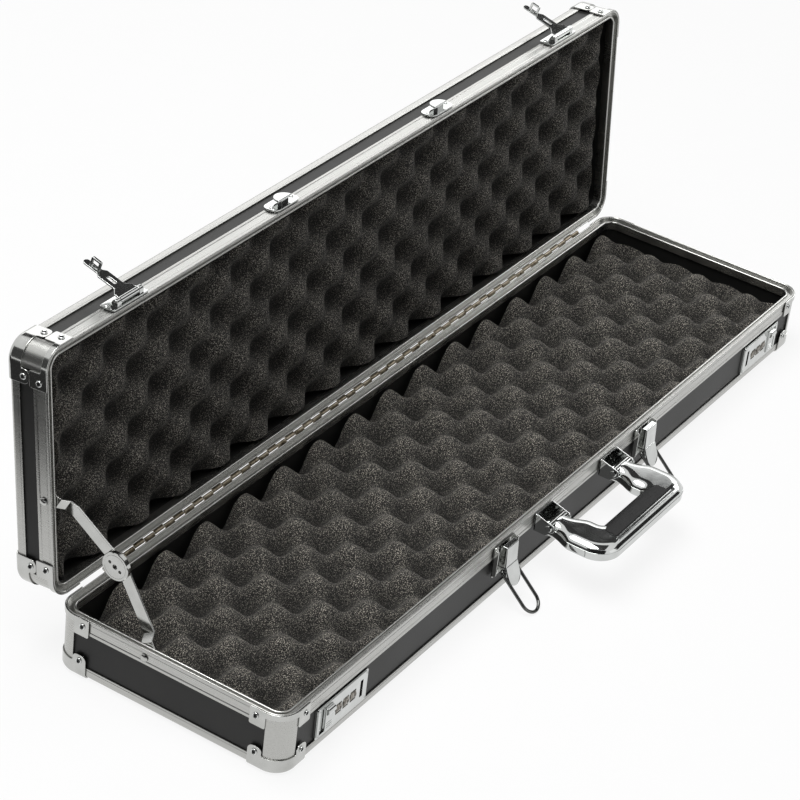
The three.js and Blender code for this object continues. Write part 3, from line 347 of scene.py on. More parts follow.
def plate(outline, thickness, bevel=0.3, holes=(), segments=2):
    bm = bmesh.new()
    edges = [edge for points in (outline, *holes) for edge in loop(bm, [(*p, 0) for p in points])]
    bmesh.ops.triangle_fill(bm, use_beauty=True, use_dissolve=True, edges=edges)
    thicken(bm, thickness)
    bmesh.ops.recalc_face_normals(bm, faces=bm.faces)
    if bevel:
        joins = [edge for edge in bm.edges if len(edge.link_faces) == 2]
        sharp = [edge for edge in joins if edge.calc_face_angle(0) > SHARP_EDGE]
        bevel_edges(bm, sharp, bevel, segments)
    return bm


print("plates ready")

# %% Carrying a profile, and turning one
def carry(bm, edges, *moves):
    for move in moves:
        if isinstance(move, Vector):
            grown = bmesh.ops.extrude_edge_only(bm, edges=edges)["geom"]
            ends = of_kind(grown, bmesh.types.BMVert)
            bmesh.ops.translate(bm, verts=ends, vec=move)
        else:
            center, axis, angle, steps = move
            start = list({vert for edge in edges for vert in edge.verts})
            grown = bmesh.ops.spin(
                bm, geom=edges + start, cent=center, axis=axis, dvec=(0, 0, 0),
                angle=radians(angle), steps=steps, use_merge=False, use_duplicate=False,
            )["geom_last"]
            ends = of_kind(grown, bmesh.types.BMVert)
        grown_edges = of_kind(grown, bmesh.types.BMEdge)
        edges = [edge for edge in grown_edges if set(edge.verts) <= set(ends)]


def cap_ends(bm):
    open_edges = [edge for edge in bm.edges if len(edge.link_faces) == 1]
    bmesh.ops.holes_fill(bm, edges=open_edges, sides=0)
    return bm


def turned(profile, steps=32):
    bm = bmesh.new()
    corners = [bm.verts.new((radius, 0, height)) for radius, height in profile]
    edges = [bm.edges.new(pair) for pair in zip(corners, corners[1:])]
    bmesh.ops.spin(
        bm, geom=corners + edges, cent=(0, 0, 0), axis=(0, 0, 1), dvec=(0, 0, 0),
        angle=2 * pi, steps=steps, use_merge=True, use_duplicate=False,
    )
    bmesh.ops.remove_doubles(bm, verts=bm.verts, dist=0.0001)
    return cap_ends(bm)


print("carrying and turning ready")

# %% Placing and joining
STOOD_UP = Matrix.Rotation(pi / 2, 4, "X")
LAID_ALONG = Matrix.Rotation(pi / 2, 4, "Y")


def place(bm, matrix):
    bmesh.ops.transform(bm, matrix=matrix, verts=bm.verts)
    return bm


def moved(bm, x=0, y=0, z=0):
    return place(bm, Matrix.Translation((x, y, z)))


def spool(end, length, steps=32):
    other = [(radius, length - along) for radius, along in reversed(end)]
    return place(turned([*end, *other], steps), LAID_ALONG)


def join(*parts):
    whole = bmesh.new()
    for part in parts:
        carried = bpy.data.meshes.new("carried")
        part.to_mesh(carried)
        part.free()
        whole.from_mesh(carried)
        bpy.data.meshes.remove(carried)
    return whole


print("placing and joining ready")

# %% [markdown]
# Each piece is finished the same way: it is put in its place, scaled to metres, welded and shaded
# smooth up to its sharp edges. Then it rides on its body and hides the CAD solid that it stands
# for. Most of the hardware comes in pairs, so each row of a small table says what is drawn at the
# left and again at the right.

# %% Finishing a piece
def as_object(name, bm, finish):
    mesh = bpy.data.meshes.new(name)
    bm.to_mesh(mesh)
    bm.free()
    mesh.materials.append(finish.material)
    thing = bpy.data.objects.new(name, mesh)
    bpy.context.scene.collection.objects.link(thing)
    return thing


def make(name, bm, body, finish, where=AS_DRAWN, instead=(), sharp=32):
    place(bm, where)
    bmesh.ops.scale(bm, verts=bm.verts, vec=(MM, MM, MM))
    bmesh.ops.remove_doubles(bm, verts=bm.verts, dist=1e-6)
    bmesh.ops.recalc_face_normals(bm, faces=bm.faces)
    for face in bm.faces:
        face.smooth = True
    for edge in bm.edges:
        edge.smooth = not edge.is_manifold or edge.calc_face_angle(0) < radians(sharp)
    piece = as_object(name, bm, finish)
    even = piece.modifiers.new("even shading", "WEIGHTED_NORMAL")
    even.keep_sharp = True
    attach(piece, body)
    if instead:
        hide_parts(*instead)
    print(name, len(piece.data.polygons), "faces")
    return piece


def make_pairs(*rows):
    for end, side in SIDES:
        for name, draw, at, body, finish, slot, where, instead in rows:
            make(name.format(end), moved(draw(), side * at), body.format(end), finish,
                 where, [instead.format(end)])


print("pieces can be finished")

# %% [markdown]
# Hardware on the front wall is drawn flat and stood against the wall. An outline in outset and
# height becomes a bar along X: the matrix sends the drawing's first axis out of the front face,
# its second up and its depth along the case.

# %% Plates, bars and pins on the front wall
OUTSET_TO_X = Matrix(((0, 0, 1, 0), (-1, 0, 0, -HALF_WIDTH), (0, 1, 0, 0), (0, 0, 0, 1)))
SMALL_ROUND = 24


def on_front(x=0, z=0, outset=0):
    return Matrix.Translation((x, -HALF_WIDTH - outset, z)) @ STOOD_UP


def front_plate(outline, thickness, outset=SEAT, bevel=0.3, holes=(), segments=2):
    return place(plate(outline, thickness, bevel, holes, segments), on_front(outset=outset))


def bar(outline, x0, x1, bevel=0.3, segments=2):
    part = plate(outline, x1 - x0, bevel, segments=segments)
    return moved(place(part, OUTSET_TO_X), x=x0)


def pin(outset, z, radius, x0, x1, bevel=0.3):
    part = spool([(0, 0), (radius - bevel, 0), (radius, bevel)], x1 - x0, SMALL_ROUND)
    return moved(part, x0, -HALF_WIDTH - outset, z)


print("plates, bars and pins ready")

# %% [markdown]
# Every head is a small lathe shape whose foot is sunk into its plate. A solid rivet is a dome and
# a screw is a dome with a raised cross. The corner fittings are held by hollow rivets: each is a
# rolled rim round a shallow pit, and a dark disc in the pit is painted shade that stands for the
# dark inside of the hole.

# %% Heads of rivets and screws
EYELET_HOLE = 0.56
EYELET_ROLL = [(1, 0.3), (0.96, 0.66), (0.88, 0.9), (0.78, 1), (0.68, 0.92), (0.6, 0.7)]
CROSS_HALF = 0.22


def dome(radius, height):
    rise = [(radius * cos(radians(a)), height * sin(radians(a))) for a in range(0, 91, 15)]
    return turned([(0, -0.4), (radius, -0.4), *rise[:-1], (0, height)], SMALL_ROUND)


def screw(radius, height):
    reach = 0.6 * radius
    arms = [plate(box(-reach, -CROSS_HALF, reach, CROSS_HALF), 0.3, 0) for _ in range(2)]
    place(arms[1], Matrix.Rotation(pi / 2, 4, "Z"))
    return join(dome(radius, height), *[moved(arm, z=height - 0.25) for arm in arms])


def eyelet(radius, height):
    roll = [(radius * across, height * up) for across, up in EYELET_ROLL]
    pit = [(radius * EYELET_HOLE, -0.4), (0, -0.4)]
    return turned([(0, -0.6), (radius, -0.6), *roll, *pit], SMALL_ROUND)


# A dark disc in the pit: painted shade for the dark inside of the hole.
def hollow(radius):
    hole = radius * EYELET_HOLE
    return turned([(0, -0.3), (hole, -0.3), (hole, 0.08), (0, 0.02)], SMALL_ROUND)


print("heads ready")

# %% [markdown]
# ## The aluminium edges
# Each half has two drawn bars bent round it: a rim with a groove, and an edge that hides the ends
# of the boards. A real bar has one profile along its whole length, so the mesh is made the same
# way: the profile is carried along a side, spun round a corner, and so on until it meets its
# start.

# %% A bar bent round the case
CORNER_STEPS = 14
UP = (0, 0, 1)
X_MID = HALF_LENGTH - CORNER
Y_MID = HALF_WIDTH - CORNER
CORNERS = [
    (place_x * X_MID, place_y * Y_MID, turn)
    for place_x, place_y, turn in ((1, 1, 0), (-1, 1, 90), (-1, -1, 180), (1, -1, 270))
]


def ring(profile):
    bm = bmesh.new()
    start = loop(bm, [(HALF_LENGTH - inset, -Y_MID, height) for inset, height in profile])
    carry(
        bm, start,
        Vector((0, 2 * Y_MID, 0)), ((X_MID, Y_MID, 0), UP, 90, CORNER_STEPS),
        Vector((-2 * X_MID, 0, 0)), ((-X_MID, Y_MID, 0), UP, 90, CORNER_STEPS),
        Vector((0, -2 * Y_MID, 0)), ((-X_MID, -Y_MID, 0), UP, 90, CORNER_STEPS),
        Vector((2 * X_MID, 0, 0)), ((X_MID, -Y_MID, 0), UP, 90, CORNER_STEPS),
    )
    bmesh.ops.remove_doubles(bm, verts=bm.verts, dist=0.01)
    return bm


def round_corner(profile):
    bm = bmesh.new()
    start = loop(bm, [(CORNER - inset, 0, height) for inset, height in profile])
    carry(bm, start, ((0, 0, 0), UP, 90, CORNER_STEPS))
    return cap_ends(bm)


def at_corner(x, y, turn):
    return Matrix.Translation((x, y, 0)) @ Matrix.Rotation(radians(turn), 4, "Z")


print("bars can be bent")

# %% [markdown]
# The rim's profile is drawn down from the top of its half, and the edge's profile up from the
# floor. Between them, an upright strip of the same sheet wraps each corner under the fittings.

# %% Rims and edges of both halves
SHEET = 1
STRIP_TOP = 5.3
EDGE_ROUND = 3.5
EDGE_PROFILE = [
    *arc(EDGE_ROUND, EDGE_ROUND, EDGE_ROUND, 180, 270, 8),
    (10.8, 0), (11, 0.2), (11, SHEET), (EDGE_ROUND, SHEET), (SHEET, EDGE_ROUND),
    (SHEET, 8.8), (0.8, 9), (0.2, 9), (0, 8.8), (0, 7.6), (0.15, 7.4), (0, 7.2),
]
RIM_PROFILE = [
    (0.15, -13), (1, -13), (1, -4.2), (6.1, -4.2), (6.1, -9), (7.1, -9),
    *arc(6.1, -2.4, 1, 0, 180, 8), (5.1, -3.2), (1.3, -3.2), *arc(0.65, -0.65, 0.65, 0, 180, 8),
    (0, -2), (0.12, -2.3), (0.4, -2.6), (0.4, -3.6), (0.25, -3.8), (0.25, -4.1), (0.4, -4.3),
    (0.4, -10), (0.12, -10.4), (0, -10.7), (0, -12.85),
]


def rim_and_edge(half, body, height, where):
    rim = ring([(inset, height + level) for inset, level in RIM_PROFILE])
    make(f"{half}_rim", rim, body, aluminium, where, [f"{half}_rim_frame"])
    strip = box(-0.22, EDGE_ROUND + 1, SHEET, height - STRIP_TOP)
    strips = [place(round_corner(strip), at_corner(*corner)) for corner in CORNERS]
    make(f"{half}_edge", join(ring(EDGE_PROFILE), *strips), body, aluminium,
         where, [f"{half}_edge_frame"])


rim_and_edge("base", "base", BASE_HEIGHT, AS_DRAWN)
rim_and_edge("lid", "lid", LID_HEIGHT, LID_HALF)

# %% [markdown]
# ## Corner fittings
# A cap closes each lower corner and a bracket wraps each rim corner. Both are blanks cut from
# steel sheet and pressed round the corner. They are made the same way here: a flat blank gets its
# bevels, is cut into narrow strips, and then each of its points is carried round the corner, and
# for the cap round the lower edge as well.

# %% Pressing a blank round a corner
CORNER_RUN = pi / 2 * CORNER
EDGE_RUN = pi / 2 * EDGE_ROUND
CORNER_STRIPS = 16
EDGE_STRIPS = 8


def cut_at(bm, axis, spot):
    normal = Vector((0, 0, 0))
    normal[axis] = 1
    everything = [*bm.verts, *bm.edges, *bm.faces]
    bmesh.ops.bisect_plane(bm, geom=everything, plane_co=normal * spot, plane_no=normal)


def pressed(blank, round_edge):
    for i in range(CORNER_STRIPS + 1):
        cut_at(blank, 0, CORNER_RUN * (i / CORNER_STRIPS - 0.5))
    for i in range(EDGE_STRIPS + 1 if round_edge else 0):
        cut_at(blank, 1, EDGE_RUN * (i / EDGE_STRIPS - 1))
    for vert in blank.verts:
        along, climb, out = vert.co
        lean = min(max(-climb / EDGE_ROUND, 0), pi / 2) if round_edge else 0
        under = max(-climb - EDGE_RUN, 0) if round_edge else 0
        reach = CORNER - EDGE_ROUND + (EDGE_ROUND + out) * cos(lean) - under
        level = max(climb, 0) - (EDGE_ROUND + out) * sin(lean) if round_edge else climb
        turn = pi / 4 + min(max(along / CORNER, -pi / 4), pi / 4)
        past = along - min(max(along, -CORNER_RUN / 2), CORNER_RUN / 2)
        x = reach * cos(turn) - past * sin(turn)
        y = reach * sin(turn) + past * cos(turn)
        vert.co = (x, y, level)
    return blank


print("blanks can be pressed")

# %% Corner caps and brackets
CAP_REACH = 28.5
BRACKET_REACH = 29.5
BRACKET_HEIGHT = 15.4


def corner_cap():
    end = CORNER_RUN / 2 + CAP_REACH - CORNER
    inner = CORNER_RUN / 2 + 0.6
    side = [(end, -EDGE_RUN - 5.5), *arc(end - 5, 10.5, 5, 0, 90, 10),
            *arc(inner + 4, 11.5, 4, 90, 180, 8), *arc(inner - 1.5, 10, 1.5, 0, -90, 5)]
    blank = plate([*side, *mirrored(side)], SHEET)
    return moved(pressed(moved(blank, z=SEAT), True), z=EDGE_ROUND)


def corner_bracket(height):
    end = CORNER_RUN / 2 + BRACKET_REACH - CORNER
    inner = CORNER_RUN / 2
    low = height - BRACKET_HEIGHT
    top = height - 0.1
    side = [*arc(end - 0.6, top - 0.6, 0.6, 90, 0, 3), *arc(end - 1.5, low + 1.5, 1.5, 0, -90, 5),
            *arc(inner + 1.5, low + 1.5, 1.5, 270, 180, 5),
            *arc(inner - 1.2, top - 6.2, 1.2, 0, 90, 4)]
    blank = plate([*side, *mirrored(side)], SHEET, 0.35, segments=3)
    return pressed(moved(blank, z=SEAT), False)


print("caps and brackets drawn")

# %% Fittings and their hollow rivets
EAR_FIRST = Matrix(((0, 0, 1, CORNER + SEAT), (-1, 0, 0, 0), (0, 1, 0, 0), (0, 0, 0, 1)))
EAR_SECOND = Matrix(((-1, 0, 0, 0), (0, 0, 1, CORNER + SEAT), (0, 1, 0, 0), (0, 0, 0, 1)))
RIVET_RADIUS = 2.6
RIVET_HEIGHT = 1
CAP_RIVET_REACH = 22.5
CAP_RIVET_LEVEL = 14
BRACKET_RIVET_REACH = 24
BRACKET_RIVET_DROP = 6.5


def fittings(half, body, height, where, ends):
    rivets, hole_shades = [], []
    for corner, end in zip(CORNERS, ends):
        spot = at_corner(*corner)
        make(f"{half}_cap_{end}", place(corner_cap(), spot), body, steel, where,
             [f"{half}_corner_cap_{end}"])
        make(f"{half}_bracket_{end}", place(corner_bracket(height), spot), body, steel,
             where, [f"{half}_corner_bracket_{end}"])
        for reach, level in ((CAP_RIVET_REACH, CAP_RIVET_LEVEL),
                             (BRACKET_RIVET_REACH, height - BRACKET_RIVET_DROP)):
            for ear in (EAR_FIRST, EAR_SECOND):
                seat = spot @ ear @ Matrix.Translation((reach - CORNER, level, SHEET))
                rivets.append(place(eyelet(RIVET_RADIUS, RIVET_HEIGHT), seat))
                hole_shades.append(place(hollow(RIVET_RADIUS), seat))
    make(f"{half}_corner_rivets", join(*rivets), body, plating, where)
    # The dark discs in the rivet pits are painted shade.
    make(f"{half}_rivet_hole_shades", join(*hole_shades), body, ink_and_hole_shade, where)


fittings("base", "base", BASE_HEIGHT, AS_DRAWN,
         ["right_back", "left_back", "left_front", "right_front"])
fittings("lid", "lid", LID_HEIGHT, LID_HALF,
         ["right_front", "left_front", "left_back", "right_back"])

# %% [markdown]
# ## Foam
# The foam is cut by rollers that squeeze it unevenly, which leaves peaks and valleys in a
# checkered field. Two cosines multiplied give that field. A grid is raised to it, a little noise
# makes each peak its own, and the border is drawn down to a flat back.

# %% Foam in both halves
FOAM_X = 384.6
FOAM_Y = 90.1
FOAM_PITCH = 50.8
FOAM_PHASE_X = -10.6
FOAM_PHASE_Y = 12.1
FOAM_BACK = 5.6
FOAM_STEP = 2.6
FOAM_FULLNESS = 1.45
UNEVEN_SPAN = 24
UNEVEN_RISE = 0.9


def foam(thickness, wave, phase_y):
    bm = bmesh.new()
    raised = bm.verts.layers.float.new("raised")
    across = round(2 * FOAM_X / FOAM_STEP)
    down = round(2 * FOAM_Y / FOAM_STEP)
    bmesh.ops.create_grid(bm, x_segments=across, y_segments=down, size=1)
    bmesh.ops.scale(bm, verts=bm.verts, vec=(FOAM_X, FOAM_Y, 1))
    turns = 2 * pi / FOAM_PITCH
    peak = FOAM_BACK + thickness
    for vert in bm.verts:
        x, y = vert.co.x, vert.co.y
        ripple = cos(turns * (x - FOAM_PHASE_X)) * cos(turns * (y - phase_y))
        share = 1 - ((1 - ripple) / 2) ** FOAM_FULLNESS
        uneven = UNEVEN_RISE * noise.noise(Vector((x / UNEVEN_SPAN, y / UNEVEN_SPAN, thickness)))
        vert.co.z = min(peak, peak - 2 * wave * (1 - share) + uneven)
        vert[raised] = share
    rim = [edge for edge in bm.edges if len(edge.link_faces) == 1]
    grown = bmesh.ops.extrude_edge_only(bm, edges=rim)["geom"]
    for vert in of_kind(grown, bmesh.types.BMVert):
        vert.co.z = FOAM_BACK
    return cap_ends(bm)


base_pad = make("foam_in_base", foam(38, 11, FOAM_PHASE_Y), "base", foam_finish,
                AS_DRAWN, ["base_foam"], sharp=60)
lid_pad = make("foam_in_lid", foam(25, 7, -FOAM_PHASE_Y), "lid", foam_finish,
               LID_HALF, ["lid_foam"], sharp=60)

# %% [markdown]
# ## Hinge
# A long hinge has many short knuckles that belong to its two leaves in turn, on one pin. Each
# knuckle is a small lathe shape laid along X, and a neck joins it to its leaf. The lid's leaf is
# drawn closed and turned open with the lid.

# %% Long hinge
HINGE_START = -345
HINGE_END = 350
HINGE_MIDDLE = (HINGE_START + HINGE_END) / 2
KNUCKLES = 57
KNUCKLE_PITCH = (HINGE_END - HINGE_START) / KNUCKLES
KNUCKLE_WIDTH = 0.9 * KNUCKLE_PITCH
KNUCKLE_RADIUS = 1.4
LEAF_FRONT = 1
LEAF_DROP = 12.6
LEAF_NOTCH = 1.8
LEAF_HEADS = 13
HEAD_INSET = 20
HEAD_DROP = 8


def along_hinge(part, x, y=0, z=0):
    return moved(part, x, HINGE_Y + y, HINGE_Z + z)


def upright(side, x0, x1, near, far, bevel):
    low, high = sorted((side * near, side * far))
    return place(plate(box(x0, low, x1, high), SHEET, bevel), STOOD_UP)


def hinge_leaf(side):
    leaf = upright(side, HINGE_START - HINGE_MIDDLE, HINGE_END - HINGE_MIDDLE,
                   LEAF_NOTCH, LEAF_DROP, 0.2)
    parts = [along_hinge(leaf, HINGE_MIDDLE, -LEAF_FRONT)]
    for count in range(0 if side < 0 else 1, KNUCKLES, 2):
        x = HINGE_START + (count + 0.05) * KNUCKLE_PITCH
        neck = upright(side, 0, KNUCKLE_WIDTH, 0, LEAF_NOTCH + 0.5, 0)
        knuckle = spool([(0.9, 0), (1.2, 0), (KNUCKLE_RADIUS, 0.2)], KNUCKLE_WIDTH, 16)
        parts += [along_hinge(knuckle, x), along_hinge(neck, x, -LEAF_FRONT)]
    run = HINGE_END - HINGE_START - 2 * HEAD_INSET
    for count in range(LEAF_HEADS):
        head = place(dome(1.7, 0.7), STOOD_UP.inverted())
        x = HINGE_START + HEAD_INSET + run * count / (LEAF_HEADS - 1)
        parts.append(along_hinge(head, x, -LEAF_FRONT, side * HEAD_DROP))
    return join(*parts)


make("hinge_lower_leaf", hinge_leaf(-1), "base", hinge_metal,
     AS_DRAWN, ["hinge_leaf_base"])
make("hinge_upper_leaf", hinge_leaf(1), "lid", hinge_metal,
     OPENED, ["hinge_leaf_lid"])

# %% [markdown]
# ## Carrying handle
# The handle hangs in two folded brackets. It is a plated casting: two flat arms flare into a
# rounded bar, and a soft black insert fills the inside of the bar. The casting starts as one flat
# outline. Its top is inset in many small rising steps, which gives it a crown, and its lower edge
# gets a bevel.

# %% Handle brackets
BRACKET_AT = 51
BRACKET_HALF = 13
BRACKET_LOW = 34.7
BRACKET_TOP = 50
BRACKET_SHEET = 1.4
PIVOT_OUTSET = 13.5
PIVOT_HEIGHT = 42.2


def handle_mount():
    back = rounded(-BRACKET_HALF, BRACKET_LOW, BRACKET_HALF, BRACKET_TOP, 1)
    ear = [(SEAT, BRACKET_LOW), (11.5, BRACKET_LOW), *arc(15, PIVOT_HEIGHT, 3.5, -60, 60, 8),
           (SEAT, BRACKET_TOP)]
    parts = [front_plate(back, BRACKET_SHEET)]
    for cheek in (-BRACKET_HALF, BRACKET_HALF - BRACKET_SHEET):
        parts.append(bar(ear, cheek, cheek + BRACKET_SHEET))
    parts.append(pin(PIVOT_OUTSET, PIVOT_HEIGHT, 1.8, -12, 12))
    for head in (-14.2, 12.5):
        parts.append(pin(PIVOT_OUTSET, PIVOT_HEIGHT, 2.8, head, head + 1.7, 0.5))
    return join(*parts)


make_pairs(("handle_mount_{}", handle_mount, BRACKET_AT, "base", plating, "bright_plating",
            AS_DRAWN, "handle_bracket_{}"))

# %% Handle casting
ARM_INNER = 39.7
ARM_OUTER = 62.3
HANDLE_HALF = 69
HANDLE_FRONT = -56
HANDLE_UNDER = -8.7
OPENING = -31
PARTING = -1.2
CROWN_STEPS = ((0.3, 0), (0.3, 0.8), (0.7, 1.1), (1, 1), (1.3, 0.9), (1.6, 0.7), (1.8, 0.5),
               (1.8, 0.25), (1.6, 0.1))
BOSS_LENGTH = 22.6
RIB_HALF = 44
HANDLE_PLACE = Matrix.Translation((0, -HALF_WIDTH - PIVOT_OUTSET, PIVOT_HEIGHT))


def eased(x0, y0, x1, y1, steps):
    points = []
    for share in [i / steps for i in range(steps + 1)]:
        swing = (1 - cos(pi * share)) / 2
        points.append((x0 + (x1 - x0) * swing, y0 + (y1 - y0) * share))
    return points


def handle_outline():
    outside = [(ARM_INNER, 7), (ARM_OUTER, 7), *eased(ARM_OUTER, -3, HANDLE_HALF, -22, 12),
               *arc(HANDLE_HALF - 21, HANDLE_FRONT + 21, 21, 0, -90, 18)]
    inside = [*arc(29, OPENING + 4, 4, 270, 360, 6), *eased(33, -22, ARM_INNER, -3, 12)]
    return [*outside, *mirrored(outside), *mirrored(inside), *inside]


def crowned(bm):
    top = max(vert.co.z for vert in bm.verts)
    faces = [face for face in bm.faces if min(vert.co.z for vert in face.verts) > top - 0.01]
    for width, rise in CROWN_STEPS:
        bmesh.ops.inset_region(bm, faces=faces, thickness=width, depth=rise, use_even_offset=True)
    return bm


def handle_arm_end():
    half = BOSS_LENGTH / 2
    boss = spool([(0, 0), (3.6, 0), (4, 0.4)], BOSS_LENGTH)
    heel = plate(box(-half, 3, half, 11.4), 4, 0.6)
    return join(moved(boss, -half), moved(heel, z=HANDLE_UNDER))


def handle_bar():
    casting = moved(plate(handle_outline(), PARTING - HANDLE_UNDER, 0), z=HANDLE_UNDER)
    lowest = [e for e in casting.edges if all(v.co.z < HANDLE_UNDER + 0.1 for v in e.verts)]
    bevel_edges(casting, [edge for edge in lowest if edge.calc_face_angle(0) > 1], 2.4, 5)
    parts = [crowned(casting)]
    for _, side in SIDES:
        parts.append(moved(handle_arm_end(), side * BRACKET_AT))
    for y, low in ((-49.3, 3.2), (-51.4, 2.6)):
        rib = plate(rounded(-RIB_HALF, y - 0.55, RIB_HALF, y + 0.55, 0.5, 4), 1.3)
        parts.append(moved(rib, z=low))
    return join(*parts)


make("handle_casting", handle_bar(), "handle", plating,
     HANDLE_PLACE, ["handle_body"])

# %% [markdown]
# The insert is moulded rubber that wraps the inner side of the bar. Its section is drawn once,
# from the ribs over the top and down into the opening, and pushed along the bar. The matrix sends
# the drawing's first axis along Y, its second up and its depth along X.

# %% Handle insert
SECTION_TO_X = Matrix(((0, 0, 1, 0), (1, 0, 0, 0), (0, 1, 0, 0), (0, 0, 0, 1)))
INSERT_HALF = 42


def handle_insert():
    section = [(-47.9, 0), (-47.9, 4.1), (-47.2, 4.6), (-42, 5), (-38.5, 4.8), (-35.8, 4),
               (-33.4, 2.9), (-31.8, 1.4), (-30.8, -0.6), (-30.5, -3), (-30.6, -6), (-31.4, -8),
               (-33.2, -9.2), (-38, -9.6), (-38, 0)]
    insert = place(plate(section, 2 * INSERT_HALF, 0.6, segments=3), SECTION_TO_X)
    return moved(insert, -INSERT_HALF)


make("handle_insert", handle_insert(), "handle", grip_finish,
     HANDLE_PLACE, ["handle_grip"])

# %% [markdown]
# ## Draw latches
# Each latch is a folded plate with two side flanges, a box lever hanging from its top, and a wire
# bail that hangs from the lever. The lever is two stepped blocks with a rounded tongue at the
# tip.

# %% Latch plates
LATCH_AT = 110
LATCH_HALF = 15
LATCH_SHEET = 1.2
LATCH_PIVOT_OUTSET = 5.6
LATCH_PIVOT = 48.5


def latch_plate():
    flange = [(SEAT, 24), *arc(1.7, 27, 3, 270, 360, 6), *arc(3.7, 47, 1, 0, 90, 4), (SEAT, 48)]
    lug = [(0.8, 39.5), *arc(LATCH_PIVOT_OUTSET, LATCH_PIVOT, 1.5, -40, 130, 8), (0.8, 46.5)]
    parts = [front_plate(rounded(-LATCH_HALF, 22, LATCH_HALF, 50, 2), LATCH_SHEET)]
    for cheek in (-LATCH_HALF, LATCH_HALF - LATCH_SHEET):
        parts.append(bar(flange, cheek, cheek + LATCH_SHEET, 0.25))
    for cheek in (-5.6, 4):
        parts.append(bar(lug, cheek, cheek + 1.6, 0.2))
    parts.append(pin(LATCH_PIVOT_OUTSET, LATCH_PIVOT, 1, -7.9, 7.9, 0.2))
    for x in (-10.8, 10.8):
        for z in (27, 45):
            parts.append(place(dome(1.5, 0.8), on_front(x, z, SEAT + LATCH_SHEET)))
    return join(*parts)


print("latch plate drawn")

# %% Latch levers
LEVER_HALF = 8
TONGUE_LEAN = radians(68.5)


def latch_lever():
    upper = [(-3.4, -17.3), (3.9, -17.3), (2.9, 1), (2.3, 1.5), (-1.9, 1.5), (-3.4, -1.5)]
    lower = [(-3.4, -24), (2.8, -24), (4.6, -24.5), (4.1, -17.8), (-3.4, -17.8)]
    tongue = [*arc(0, -8.2, LEVER_HALF, 180, 360, 16), (LEVER_HALF, 2), (-LEVER_HALF, 2)]
    tip = place(plate(tongue, 1.9, 0.5, segments=3), Matrix.Rotation(TONGUE_LEAN, 4, "X"))
    lever = join(
        bar(upper, -LEVER_HALF, LEVER_HALF, 0.7, segments=3),
        bar(lower, -LEVER_HALF, LEVER_HALF, 0.5),
        moved(tip, 0, -HALF_WIDTH - 3.1, -18.6),
    )
    return moved(lever, 0, -LATCH_PIVOT_OUTSET, LATCH_PIVOT)


make_pairs(
    ("latch_back_{}", latch_plate, LATCH_AT, "base", steel, "fitting_metal",
     AS_DRAWN, "latch_plate_{}"),
    ("latch_arm_{}", latch_lever, LATCH_AT, "lever_{}", plating, "bright_plating",
     AS_DRAWN, "latch_lever_{}"),
)

# %% [markdown]
# The bail is the neatest use of a carried profile: a circle goes straight, bends, runs down, goes
# round the end and comes back. Its two short ends point inward, where the lever holds them.

# %% Wire bails
WIRE = 1.4
BAIL_HALF = 9.5
BAIL_BEND = 1.6
BAIL_STRAIGHT = 30.5
BAIL_TIP = 6.8
BAIL_LEAN = radians(47)
BAIL_OUTSET = LATCH_PIVOT_OUTSET + 0.9
BAIL_LEVEL = LATCH_PIVOT - 21


def bail():
    bm = bmesh.new()
    start = loop(bm, [(BAIL_TIP, y, z) for y, z in circle(0, 0, WIRE, 14)])
    knee = BAIL_HALF - BAIL_BEND
    run = BAIL_STRAIGHT - BAIL_BEND
    carry(
        bm, start,
        Vector((knee - BAIL_TIP, 0, 0)), ((knee, -BAIL_BEND, 0), UP, -90, 6),
        Vector((0, -run, 0)), ((0, -BAIL_STRAIGHT, 0), UP, -180, 24),
        Vector((0, run, 0)), ((-knee, -BAIL_BEND, 0), UP, -90, 6),
        Vector((knee - BAIL_TIP, 0, 0)),
    )
    hung = place(cap_ends(bm), Matrix.Rotation(pi / 2 - BAIL_LEAN, 4, "X"))
    return moved(hung, 0, -HALF_WIDTH - BAIL_OUTSET, BAIL_LEVEL)


make_pairs(("latch_wire_{}", bail, LATCH_AT, "bail_{}", wire_metal_painted_dark, "bright_plating",
            AS_DRAWN, "latch_bail_{}"))

# %% [markdown]
# The keeper on the lid is an oval plate with a block, and a wide hook stands in front of the
# block for the bail to catch on.

# %% Keepers on the lid
KEEPER_LOW = BASE_HEIGHT + GAP + 1.5
KEEPER_TALL = 15
KEEPER_HALF = 16.5
KEEPER_SHEET = 1.2
HOOK_LOW = BASE_HEIGHT + GAP + 5.5


def keeper():
    oval = rounded(-KEEPER_HALF, KEEPER_LOW, KEEPER_HALF, KEEPER_LOW + KEEPER_TALL, 6, 8)
    hook = [(8.5 * x, HOOK_LOW + 9.5 * z) for x, z in arc(0, 0, 1, 0, 180, 20)]
    middle = KEEPER_LOW + KEEPER_TALL / 2
    face = SEAT + KEEPER_SHEET
    screws = [place(screw(1.8, 1.1), on_front(x, middle, face)) for x in (-13, 13)]
    return join(
        front_plate(oval, KEEPER_SHEET, bevel=0.35),
        front_plate(box(-4.5, HOOK_LOW, 4.5, HOOK_LOW + 4), 4.1, outset=1, bevel=0.2),
        front_plate(hook, 1.8, outset=4.6, bevel=0.5, segments=3),
        *screws,
    )


make_pairs(("latch_hook_{}", keeper, LATCH_AT, "lid", plating, "bright_plating",
            OPENED, "latch_keeper_{}"))

# %% [markdown]
# ## Combination locks
# Each lock is a case behind a stamped plate. The plate has a slot for the hasp, three windows for
# the dials and a recess in which the button slides. Holes are drawn in the outline, so no boolean
# is needed. The two locks mirror each other, so offsets count towards the nearer end of the case.

# %% Lock bodies
LOCK_AT = 328
LOCK_HEIGHT = 23.7
LOCK_FACE = 1.5
SLOT_AT = -24
DIALS_AT = (-13.2, -4, 5.2)
DIAL_OUTSET = -3.4
AXLE_HALF = 13.8
RECESS_AT = 20.85
RECESS_FLOOR = 0.2


